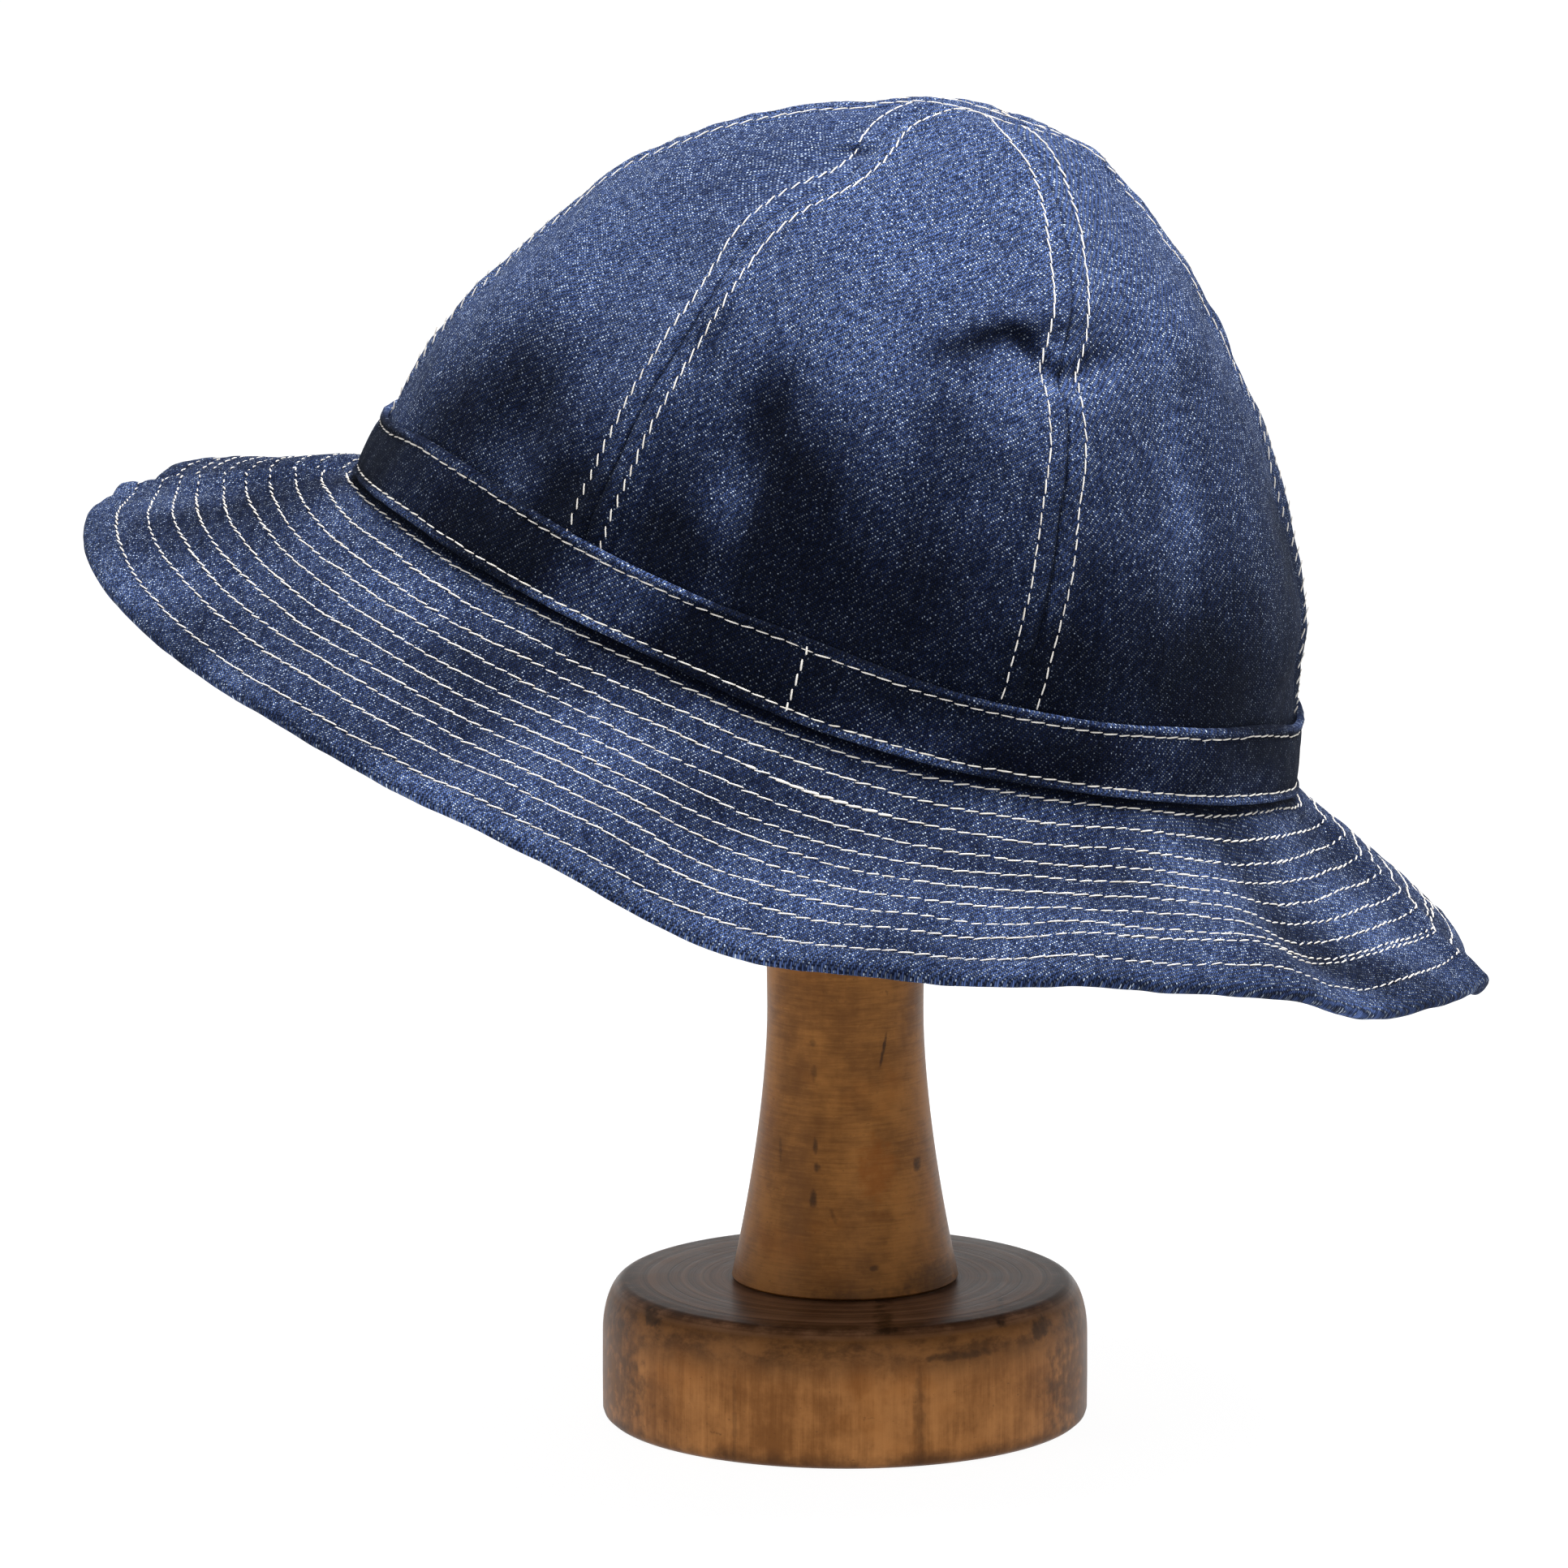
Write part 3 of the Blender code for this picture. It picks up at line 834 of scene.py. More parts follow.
class Piece:
    """A finished piece of the object: its mesh at the origin, its material, and what it stands for."""

    def __init__(self, name: str, mesh: bpy.types.Mesh, material: bpy.types.Material) -> None:
        """Put a mesh in the scene.

        Args:
            name: The piece's name.
            mesh: Its mesh.
            material: Its material.
        """
        mesh.name = name
        mesh.materials.clear()
        mesh.materials.append(material)
        mesh.shade_smooth()
        self.item = bpy.data.objects.new(name, mesh)
        bpy.context.scene.collection.objects.link(self.item)

    def settle(self, slot: str, *nodes: str) -> "Piece":
        """Ride on the body and stand for nodes.

        Args:
            slot: The record's material slot; not used.
            nodes: The solids that the piece replaces.

        Returns:
            The piece.
        """
        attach(self.item, "root")
        if nodes:
            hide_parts(*nodes)
        faces = len(self.item.data.polygons)
        LOG.info("%s: %d faces for %s", self.item.name, faces, ", ".join(nodes) or "none")
        return self

    def thicken(self, thickness: float) -> "Piece":
        """Give an open sheet its wall behind its face.

        Args:
            thickness: The wall's thickness.

        Returns:
            The piece.
        """
        wall = self.item.modifiers.new("wall", "SOLIDIFY")
        wall.thickness = thickness
        wall.offset = -1.0
        wall.use_even_offset = False
        return self


class ClothGrid:
    """A grid of cloth points, with rows along the first axis and columns along the second."""

    def __init__(self, base: Array, ring: bool = False) -> None:
        """Keep the undisturbed points.

        Args:
            base: Rows by columns of points in the hat's frame.
            ring: Whether the last column is the first again.
        """
        self.base = base
        self.ring = ring
        self.points = base.copy()

    def normals(self) -> Array:
        """Find the undisturbed face's normals.

        Returns:
            Directions that stand on it, one for each point.
        """
        base = self.base
        if self.ring:
            base = np.concatenate([base[:, -2:-1], base, base[:, 1:2]], axis=1)
        across = np.gradient(base, axis=1)
        along = np.gradient(base, axis=0)
        if self.ring:
            across, along = across[:, 1:-1], along[:, 1:-1]
        return unit(np.cross(across, along))

    def lift(self, height: Array) -> None:
        """Raise the points off the undisturbed face."""
        self.points = self.base + self.normals() * height[..., None]

    def mesh(self, uv: Array, numbers: Dict[str, Array], weld: bool = False) -> bpy.types.Mesh:
        """Make the mesh from a bmesh grid.

        Args:
            uv: Place of each point on the flat cloth, in metres.
            numbers: Named values to store on the points.
            weld: Whether points that meet are merged.

        Returns:
            The mesh, in the stand's frame.
        """
        rows, columns = self.points.shape[:2]
        shape = bmesh.new()
        bmesh.ops.create_grid(shape, x_segments=columns - 1, y_segments=rows - 1, size=0.5)
        shape.loops.layers.uv.new("cloth")
        mesh = bpy.data.meshes.new("cloth")
        shape.to_mesh(mesh)
        shape.free()
        flat = np.empty(len(mesh.vertices) * 3)
        mesh.vertices.foreach_get("co", flat)
        flat = flat.reshape(-1, 3)
        column = np.rint((flat[:, 0] + 0.5) * (columns - 1)).astype(int)
        row = np.rint((flat[:, 1] + 0.5) * (rows - 1)).astype(int)
        mesh.vertices.foreach_set("co", FORM.to_world(self.points)[row, column].ravel())
        corner = np.empty(len(mesh.loops), dtype=np.int32)
        mesh.loops.foreach_get("vertex_index", corner)
        mesh.uv_layers["cloth"].data.foreach_set("uv", uv[row[corner], column[corner]].ravel())
        for name, values in numbers.items():
            stored = mesh.attributes.new(name, "FLOAT", "POINT")
            stored.data.foreach_set("value", np.ascontiguousarray(values[row, column], dtype=np.float32))
        if weld:
            shape = bmesh.new()
            shape.from_mesh(mesh)
            bmesh.ops.remove_doubles(shape, verts=shape.verts, dist=1e-7)
            shape.to_mesh(mesh)
            shape.free()
        mesh.update()
        return mesh


def tree_of(*pieces: Piece) -> BVHTree:
    """Gather pieces for finding what lies under a point.

    Args:
        pieces: The pieces.

    Returns:
        Search tree of their outer faces.
    """
    shape = bmesh.new()
    for piece in pieces:
        shape.from_mesh(piece.item.data)
    tree = BVHTree.FromBMesh(shape)
    shape.free()
    return tree


@dataclass(frozen=True)
class StitchKind:
    """Size and lie of one kind of stitch."""

    pitch: float = 3.25 * MM
    fill: float = 1.06
    half_width: float = 0.175 * MM
    half_height: float = 0.16 * MM
    rise: float = 0.13 * MM
    dip: float = 0.15 * MM
    slant: float = math.radians(8.5)
    jitter: float = 0.05 * MM


@dataclass
class Sewing:
    """Rows of stitches laid on cloth and joined in one mesh; the seed sets their small differences."""

    name: str
    seed: int
    segments: int = 6
    rings: int = 7
    reach: float = 3.0 * MM
    turn_spread: float = math.radians(2.5)
    size_spread: float = 0.07
    darkest_tone: float = 0.55
    bluntness: float = 0.55
    end_shade: float = 0.65

    def __post_init__(self) -> None:
        """Start with no stitches."""
        self.draw = np.random.RandomState(self.seed)
        self.centres: List[Array] = []
        self.sizes: List[Array] = []

    def run(
        self, path: Array, ups: Array, tree: BVHTree, kind: StitchKind, closed: bool = False,
        offset: float = 0.0,
    ) -> None:
        """Lay a row of stitches along a path.

        Args:
            path: Points near the cloth in the stand's frame, close together.
            ups: Directions off the cloth at those points.
            tree: The cloth that the stitches lie on.
            kind: The kind of stitch.
            closed: Whether the path ends where it starts.
            offset: Share of a stitch by which the row is shifted.
        """
        hits = [
            tree.ray_cast(Vector(point + up * self.reach), Vector(-up), 2 * self.reach)
            for point, up in zip(path, ups)
        ]
        kept = [index for index, hit in enumerate(hits) if hit[0] is not None]
        path = np.array([hits[index][0] for index in kept])
        ups = ups[kept]
        length = np.concatenate([[0.0], np.cumsum(np.linalg.norm(np.diff(path, axis=0), axis=1))])
        count = max(int(round(length[-1] / kind.pitch)), 1)
        pitch = length[-1] / count
        middles = (np.arange(count) + 0.5 + offset) * pitch
        middles = middles % length[-1] if closed else middles[middles < length[-1]]

        def at(places: Array, values: Array) -> Array:
            """Read points or directions at lengths along the path."""
            return np.stack([np.interp(places, length, values[:, axis]) for axis in range(3)], -1)

        start, middle, end = (at(middles + side * pitch / 2, path) for side in (-1, 0, 1))
        up = unit(at(middles, ups))
        along = end - start
        along = unit(along - up * np.sum(along * up, axis=-1, keepdims=True))
        across = np.cross(up, along)
        for index in range(len(middles)):
            turn = kind.slant + self.draw.normal() * self.turn_spread
            ahead = along[index] * math.cos(turn) + across[index] * math.sin(turn)
            side = np.cross(up[index], ahead)
            place = middle[index] + side * self.draw.normal() * kind.jitter
            grow = 1 + self.size_spread * self.draw.normal()
            self.centres.append(np.stack([place, ahead, side, up[index]]))
            self.sizes.append(np.array([
                0.5 * pitch * kind.fill * grow, kind.half_width * grow, kind.half_height,
                kind.rise, kind.dip, self.draw.uniform(self.darkest_tone, 1.0),
            ]))

    def _one(self) -> bmesh.types.BMesh:
        """Make one ball for each stitch.

        Returns:
            The balls, all about the origin, as one shape.
        """
        first = bmesh.new()
        bmesh.ops.create_uvsphere(first, u_segments=self.segments, v_segments=self.rings, radius=1.0)
        bmesh.ops.rotate(first, verts=first.verts, matrix=Matrix.Rotation(math.pi / 2, 3, "Y"))
        mesh = bpy.data.meshes.new("one_stitch")
        first.to_mesh(mesh)
        first.free()
        shape = bmesh.new()
        shape.from_mesh(mesh)
        bpy.data.meshes.remove(mesh)
        size = len(shape.verts)
        while len(shape.verts) < size * len(self.centres):
            bmesh.ops.duplicate(shape, geom=shape.verts[:] + shape.edges[:] + shape.faces[:])
        shape.verts.ensure_lookup_table()
        extra = shape.verts[size * len(self.centres):]
        bmesh.ops.delete(shape, geom=extra, context="VERTS")
        return shape

    def piece(self, material: bpy.types.Material) -> Piece:
        """Shape and place every stitch.

        Args:
            material: The thread's material.

        Returns:
            The joined piece.
        """
        shape = self._one()
        mesh = bpy.data.meshes.new(self.name)
        shape.to_mesh(mesh)
        shape.free()
        count = len(self.centres)
        ball = np.empty(len(mesh.vertices) * 3)
        mesh.vertices.foreach_get("co", ball)
        ball = ball.reshape(count, -1, 3)
        frame = np.stack(self.centres)
        size = np.stack(self.sizes)
        along = ball[..., 0]
        girth = np.sqrt(np.maximum(1 - along ** 2, 1e-6))
        blunt = np.where(girth > 0.05, girth ** -self.bluntness, 0.0)
        x = along * size[:, None, 0]
        y = ball[..., 1] * blunt * size[:, None, 1]
        z = ball[..., 2] * blunt * size[:, None, 2] + size[:, None, 3] - size[:, None, 4] * along ** 4
        place = (
            frame[:, None, 0] + frame[:, None, 1] * x[..., None]
            + frame[:, None, 2] * y[..., None] + frame[:, None, 3] * z[..., None]
        )
        mesh.vertices.foreach_set("co", place.ravel())
        # Painted shade darkens each stitch towards its ends, where it dips into the cloth.
        tone = size[:, None, 5] * (1 - self.end_shade * along ** 6)
        stored = mesh.attributes.new("tone", "FLOAT", "POINT")
        stored.data.foreach_set("value", np.ascontiguousarray(tone.ravel(), dtype=np.float32))
        mesh.update()
        return Piece(self.name, mesh, material)


@dataclass(frozen=True)
class Crease:
    """A fold pressed into the crown along a line, steep above its bottom and gentle below it."""

    line: Tuple[Tuple[float, float, float], ...]
    width: float
    lip: float = 0.35

    def read(self, crown: "CrownCloth", points: Array, normals: Array) -> Tuple[Array, Array]:
        """Height of the fold at points of the crown.

        Args:
            crown: The crown that the line's azimuths and height shares are on.
            points: Points of the crown in the hat's frame.
            normals: Directions that stand on it.

        Returns:
            The height, and how much of the fold's inner wall shows, from 0 to 1, where it is darkened by
            unfaded dye and painted shade.
        """
        steps = np.linspace(0, len(self.line) - 1, 90)
        places = tuple(float(index) for index in range(len(self.line)))
        azimuth, level, depth = (Track(places, column).read(steps) for column in zip(*self.line))
        path = crown.places(azimuth, level)
        ahead = unit(np.gradient(path, axis=0))
        flat = points.reshape(-1, 3)
        nearest = np.linalg.norm(flat[:, None] - path[None], axis=-1).argmin(axis=1)
        nearest = nearest.reshape(points.shape[:-1])
        off = points - path[nearest]
        up = unit(np.cross(normals, ahead[nearest]))
        up = np.where(up[..., 2:3] < 0, -up, up)
        across = np.sum(off * up, axis=-1) / self.width
        beyond = np.linalg.norm(off - up * np.sum(off * up, axis=-1, keepdims=True), axis=-1)
        deep = depth[nearest] * bell(beyond, 0.0, 1.5 * self.width)
        valley = np.where(across > 0, bell(across, 0.0, 0.75), bell(across, 0.0, 1.5))
        ridge = self.lip * bell(across, 1.6, 0.9)
        return (ridge - valley) * deep * MM, bell(across, 0.45, 0.75) * np.clip(deep / 1.5, 0, 1)


@dataclass(frozen=True)
class DyeAndShadePatch:
    """A soft darker patch of the crown, paler where the strength is below zero: partly dye kept or lost,
    partly painted shade and light of soft folds.
    """

    azimuth: float
    height: float
    half_angle: float
    half_height: float
    strength: float

    def read(self, degrees: Array, height: Array) -> Array:
        """Read the patch.

        Args:
            degrees: Azimuths in degrees.
            height: Height shares.

        Returns:
            Its strength at each place.
        """
        across = (degrees - self.azimuth + 180) % 360 - 180
        near = bell(across, 0.0, self.half_angle) * bell(height, self.height, self.half_height)
        return self.strength * near


@dataclass
class CrownCloth:
    """Six sewn panels, their opened seams and the double rows of stitches beside each seam."""

    rows: int = 168
    columns: int = 80
    wall: float = 1.1 * MM
    foot: float = 0.25 * MM
    foot_flat: float = 18.0 * MM
    stitch_offset: float = 3.95 * MM
    first_stitch: float = 11.0 * MM
    long_seam: Tuple[int, int] = (0, 3)
    long_seam_edge: Tuple[float, float] = (4.2 * MM, 5.4 * MM)
    seam_edge: Tuple[float, float] = (4.3 * MM, 6.6 * MM)
    seam_rise: float = 0.55 * MM
    seam_groove: float = 0.42 * MM
    wedge_share: float = 0.62
    waves: Tuple[Ripple, ...] = (Ripple(42 * MM, 0.85 * MM, 4), Ripple(16 * MM, 0.26 * MM, 7))
    crumple: Ripple = Ripple(5.5 * MM, 0.05 * MM, 9)

    # Azimuth of each seam at profile positions, in degrees from the back
    seams: Tuple[Track, ...] = (
        Track((0, 9), (0, 0)),
        Track((0, 3, 6, 8, 9), (65, 64.5, 63, 60, 58)),
        Track((0, 3, 6, 8, 9), (121, 121, 122, 125, 127)),
        Track((0, 9), (180, 180)),
        Track((0, 1, 2, 3, 4, 5, 5.5, 6, 6.4, 7, 7.5, 8, 9),
              (238.8, 238.4, 237.3, 236.7, 235.8, 233.3, 233.8, 235.2, 231, 219.5, 208, 192, 184)),
        Track((0, 1, 2, 3, 4, 4.6, 5, 6, 7, 7.5, 8, 9),
              (294, 294.1, 294.6, 295.3, 296.5, 295.8, 297.6, 298.5, 297.0, 293, 286, 280)),
    )

    creases: Tuple[Crease, ...] = (
        Crease((
            (268.0, 0.635, 0.0), (273.0, 0.652, 0.4), (279.5, 0.688, 0.9),
            (285.0, 0.718, 1.2), (289.5, 0.700, 1.3), (294.0, 0.680, 2.0),
            (299.0, 0.690, 2.1), (305.0, 0.722, 1.1), (313.0, 0.738, 0.0),
        ), 3.0 * MM),
        Crease(((221.0, 0.868, 0.0), (227.0, 0.890, 1.2), (232.5, 0.872, 0.0)), 2.6 * MM),
        Crease(((40.0, 0.62, 0.0), (53.0, 0.65, 2.4), (66.0, 0.66, 0.0)), 4.0 * MM),
        Crease(((110.0, 0.74, 0.0), (122.0, 0.72, 1.6), (134.0, 0.75, 0.0)), 3.5 * MM),
    )

    # Patches of the crown's tone: partly dye kept or lost, partly painted shade and light of soft folds.
    dye_and_shade_patches: Tuple[DyeAndShadePatch, ...] = (
        DyeAndShadePatch(209.4, 0.368, 8, 0.11, 0.35), DyeAndShadePatch(204.0, 0.209, 8, 0.12, 0.35),
        DyeAndShadePatch(228.3, 0.180, 7, 0.11, 0.55), DyeAndShadePatch(244.7, 0.190, 6, 0.09, 0.50),
        DyeAndShadePatch(250.8, 0.473, 5, 0.09, 0.55), DyeAndShadePatch(259.1, 0.352, 6, 0.12, 0.60),
        DyeAndShadePatch(262.6, 0.221, 8, 0.10, 0.50), DyeAndShadePatch(273.2, 0.150, 9, 0.07, 0.35),
        DyeAndShadePatch(278.5, 0.316, 9, 0.12, 0.20), DyeAndShadePatch(300.1, 0.190, 6, 0.10, 0.45),
        DyeAndShadePatch(324.3, 0.220, 9, 0.12, 0.35), DyeAndShadePatch(234.8, 0.564, 4, 0.05, 0.40),
        DyeAndShadePatch(253.0, 0.739, 8, 0.05, 0.12), DyeAndShadePatch(277.0, 0.560, 8, 0.05, 0.12),
        DyeAndShadePatch(271.0, 0.650, 6, 0.03, 0.15), DyeAndShadePatch(259.0, 0.620, 11, 0.09, -0.32),
        DyeAndShadePatch(262.0, 0.760, 16, 0.09, -0.12), DyeAndShadePatch(210.0, 0.800, 16, 0.10, 0.24),
        DyeAndShadePatch(276.3, 0.690, 6, 0.05, 0.14), DyeAndShadePatch(217.6, 0.324, 8, 0.10, 0.16),
        DyeAndShadePatch(241.0, 0.320, 5, 0.10, 0.14), DyeAndShadePatch(321.0, 0.660, 6, 0.08, 0.12),
        DyeAndShadePatch(262.0, 0.960, 30, 0.06, -0.14), DyeAndShadePatch(249.3, 0.297, 5, 0.07, -0.30),
        DyeAndShadePatch(286.7, 0.605, 8, 0.05, -0.25), DyeAndShadePatch(251.2, 0.850, 14, 0.07, -0.20),
        DyeAndShadePatch(317.7, 0.600, 4, 0.16, -0.25), DyeAndShadePatch(317.9, 0.430, 4, 0.10, -0.22),
        DyeAndShadePatch(211.9, 0.611, 14, 0.10, -0.12), DyeAndShadePatch(60.0, 0.250, 9, 0.11, 0.45),
        DyeAndShadePatch(98.0, 0.340, 8, 0.14, 0.45), DyeAndShadePatch(20.0, 0.280, 8, 0.10, 0.40),
        DyeAndShadePatch(140.0, 0.210, 8, 0.11, 0.50), DyeAndShadePatch(165.0, 0.380, 7, 0.10, 0.35),
        DyeAndShadePatch(120.0, 0.640, 8, 0.05, 0.25), DyeAndShadePatch(80.0, 0.520, 10, 0.08, -0.20),
        DyeAndShadePatch(350.0, 0.450, 8, 0.10, 0.30), DyeAndShadePatch(185.0, 0.520, 10, 0.10, -0.15),
    )

    def __post_init__(self) -> None:
        """Work out the seam lines."""
        self.rise = np.linspace(0.0, len(FORM.profile) - 1.0, 500)
        self.lines = [self.seam_line(index) for index in range(len(self.seams))]
        self.pieces: List[Piece] = []

    def seam_line(self, index: int) -> Array:
        """Points of a seam from the crown's lower edge to its tip."""
        azimuth = np.radians(self.seams[index].read(self.rise))
        return FORM.crown(azimuth, self.rise)

    def places(self, degrees: Array, height: Array) -> Array:
        """Points of the crown's face.

        Args:
            degrees: Azimuths in degrees.
            height: Height shares.

        Returns:
            The points in the hat's frame.
        """
        heights = FORM.profile_at(self.rise)[0]
        top = int(np.argmax(heights))
        return FORM.crown(np.radians(degrees), np.interp(height, heights[:top], self.rise[:top]))

    @staticmethod
    def distance(points: Array, line: Array) -> Array:
        """Distance from a line.

        Args:
            points: The points.
            line: Points along the line, close together.

        Returns:
            The distance of each point.
        """
        tree = KDTree(len(line))
        for index, place in enumerate(line):
            tree.insert(place, index)
        tree.balance()
        return np.array([tree.find(point)[2] for point in points.reshape(-1, 3)]).reshape(points.shape[:-1])

    def relief(self, points: Array, normals: Array) -> Tuple[Array, Array, Array]:
        """Height of seams, folds and waves on the crown.

        Args:
            points: Points of the crown in the hat's frame.
            normals: Directions that stand on it.

        Returns:
            The height, the wear that pales the raised cloth, and the darkening in folds and the seam groove,
            from kept dye and painted shade.
        """
        back_seam, front_seam = (self.lines[index] for index in self.long_seam)
        long_line = np.concatenate([front_seam, back_seam[::-1]])
        to_long = self.distance(points, long_line)
        height = np.zeros(points.shape[:-1])
        raised = np.zeros_like(height)
        middle = np.zeros_like(height)
        for index in range(len(self.seams)):
            if index == self.long_seam[1]:
                continue
            is_long = index == self.long_seam[0]
            gap = to_long if is_long else self.distance(points, self.lines[index])
            share = 1.0 if is_long else smooth_step(*self.long_seam_edge, to_long)
            raised = np.maximum(raised, (1 - smooth_step(*self.seam_edge, gap)) * share)
            middle = np.maximum(middle, share * bell(gap, 0.0, 0.45 * MM))
            height -= share * 0.26 * MM * bell(gap, self.stitch_offset, 0.7 * MM)
            height += share * 0.10 * MM * bell(gap, 2.0 * MM, 1.1 * MM)
        height += self.seam_rise * raised - self.seam_groove * middle
        # Darkening in the seam groove and along the folds: partly dye kept there, partly painted shade.
        kept = 0.30 * middle
        for crease in self.creases:
            fold, shown = crease.read(self, points, normals)
            height += fold
            kept += 0.50 * shown
        for wave in self.waves:
            height += wave.read(points)
        height += self.crumple.read(points) * (1 + 1.5 * raised)
        foot = 1 - smooth_step(0.0, self.foot_flat, points[..., 2])
        height *= 1 - 0.8 * foot
        return height, 0.1 + 0.35 * raised, kept

    def fade(self, grid: ClothGrid, kept: Array) -> Array:
        """How much dye the sun and wear took, most where the cloth faces up, with painted light and shade
        mixed in.

        Args:
            grid: The panel's grid, with its relief.
            kept: Darkening in folds and the seam groove, from kept dye and painted shade.

        Returns:
            The fade of each point, from 0 to 1.
        """
        up = FORM.turned(grid.normals())[..., 2]
        degrees = np.degrees(np.arctan2(grid.base[..., 1], grid.base[..., 0])) % 360
        height = grid.base[..., 2] / FORM.crown_height
        # Lighter where the cloth faces up: partly sun-faded dye, partly painted light from above.
        fade = 0.25 + 0.68 * smooth_step(-0.08, 0.82, up) - kept
        for patch in self.dye_and_shade_patches:
            fade = fade - patch.read(degrees, height)
        # Painted shade darkens the crown's lowest part, next to the band.
        return np.clip(fade - 0.15 * bell(height, 0.0, 0.22), 0, 1)

    def panel_grid(self, index: int) -> Tuple[ClothGrid, Array]:
        """Lay out one panel, finer towards its seams.

        Args:
            index: The panel's number, from 0.

        Returns:
            Its grid, and the place of each point on the flat cloth.
        """
        share = np.linspace(0, 1, self.columns + 1)
        share = share - 0.75 * np.sin(math.tau * share) / math.tau
        middle = FORM.crown(np.zeros_like(self.rise), self.rise)
        length = np.concatenate([[0], np.cumsum(np.linalg.norm(np.diff(middle, axis=0), axis=1))])
        rows = np.interp(np.linspace(0, length[-1], self.rows + 1), length, self.rise)
        start = np.radians(self.seams[index].read(rows))
        following = (index + 1) % len(self.seams)
        end = np.radians(self.seams[following].read(rows)) + (math.tau if following == 0 else 0.0)
        azimuth = start[:, None] + (end - start)[:, None] * share[None]
        grid = ClothGrid(FORM.crown(azimuth, np.repeat(rows[:, None], len(share), axis=1)))
        step = np.linalg.norm(np.diff(grid.base, axis=1), axis=-1)
        across = np.concatenate([np.zeros((len(rows), 1)), np.cumsum(step, axis=1)], axis=1)
        across -= 0.5 * across[:, -1:]
        up = np.repeat(np.linspace(0, length[-1], self.rows + 1)[:, None], len(share), axis=1)
        return grid, np.stack([across, up], -1)

    def build(self, denim: bpy.types.Material, thread: bpy.types.Material) -> None:
        """Make the panels and sew them.

        Args:
            denim: The panels' material.
            thread: The stitches' material.
        """
        for index in range(len(self.seams)):
            grid, uv = self.panel_grid(index)
            normals = grid.normals()
            height, wear, kept = self.relief(grid.base, normals)
            grid.lift(height)
            grid.points[0, :, 2] -= self.foot
            mesh = grid.mesh(uv, {"wear": wear, "fade": self.fade(grid, kept)}, weld=True)
            piece = Piece(f"crown_cloth_{index + 1}", mesh, denim).thicken(self.wall)
            piece.settle("denim_crown", f"crown_panel_{index + 1}")
            self.pieces.append(piece)
        self.sew(thread)

    def sew(self, thread: bpy.types.Material) -> None:
        """Lay two rows of stitches along every seam.

        Args:
            thread: The stitches' material.
        """
        tree = tree_of(*self.pieces)
        sewing = Sewing("crown_stitches", 11)
        kind = StitchKind()
        back_seam, front_seam = (self.lines[index] for index in self.long_seam)
        long_line = np.concatenate([front_seam, back_seam[::-1][1:]])
        short_lines = [line for index, line in enumerate(self.lines) if index not in self.long_seam]
        runs = [long_line] + short_lines
        for number, line in enumerate(runs):
            step = np.linalg.norm(np.diff(line, axis=0), axis=1)
            length = np.concatenate([[0], np.cumsum(step)])
            even = np.arange(0, length[-1], 0.5 * MM)
            line = np.stack([np.interp(even, length, line[:, axis]) for axis in range(3)], -1)
            ahead = unit(np.gradient(line, axis=0))
            outward = unit(line - np.array([0.0, 0.0, 0.35 * FORM.crown_height]))
            beside = unit(np.cross(outward, ahead))
            for side in (-1, 1):
                row = line + beside * side * self.stitch_offset
                keep = row[:, 2] > self.first_stitch
                if number:
                    keep &= self.distance(row, long_line) > self.stitch_offset
                sewing.run(FORM.to_world(row[keep]), FORM.turned(outward[keep]), tree, kind)
        piece = sewing.piece(thread)
        piece.settle("denim_crown")


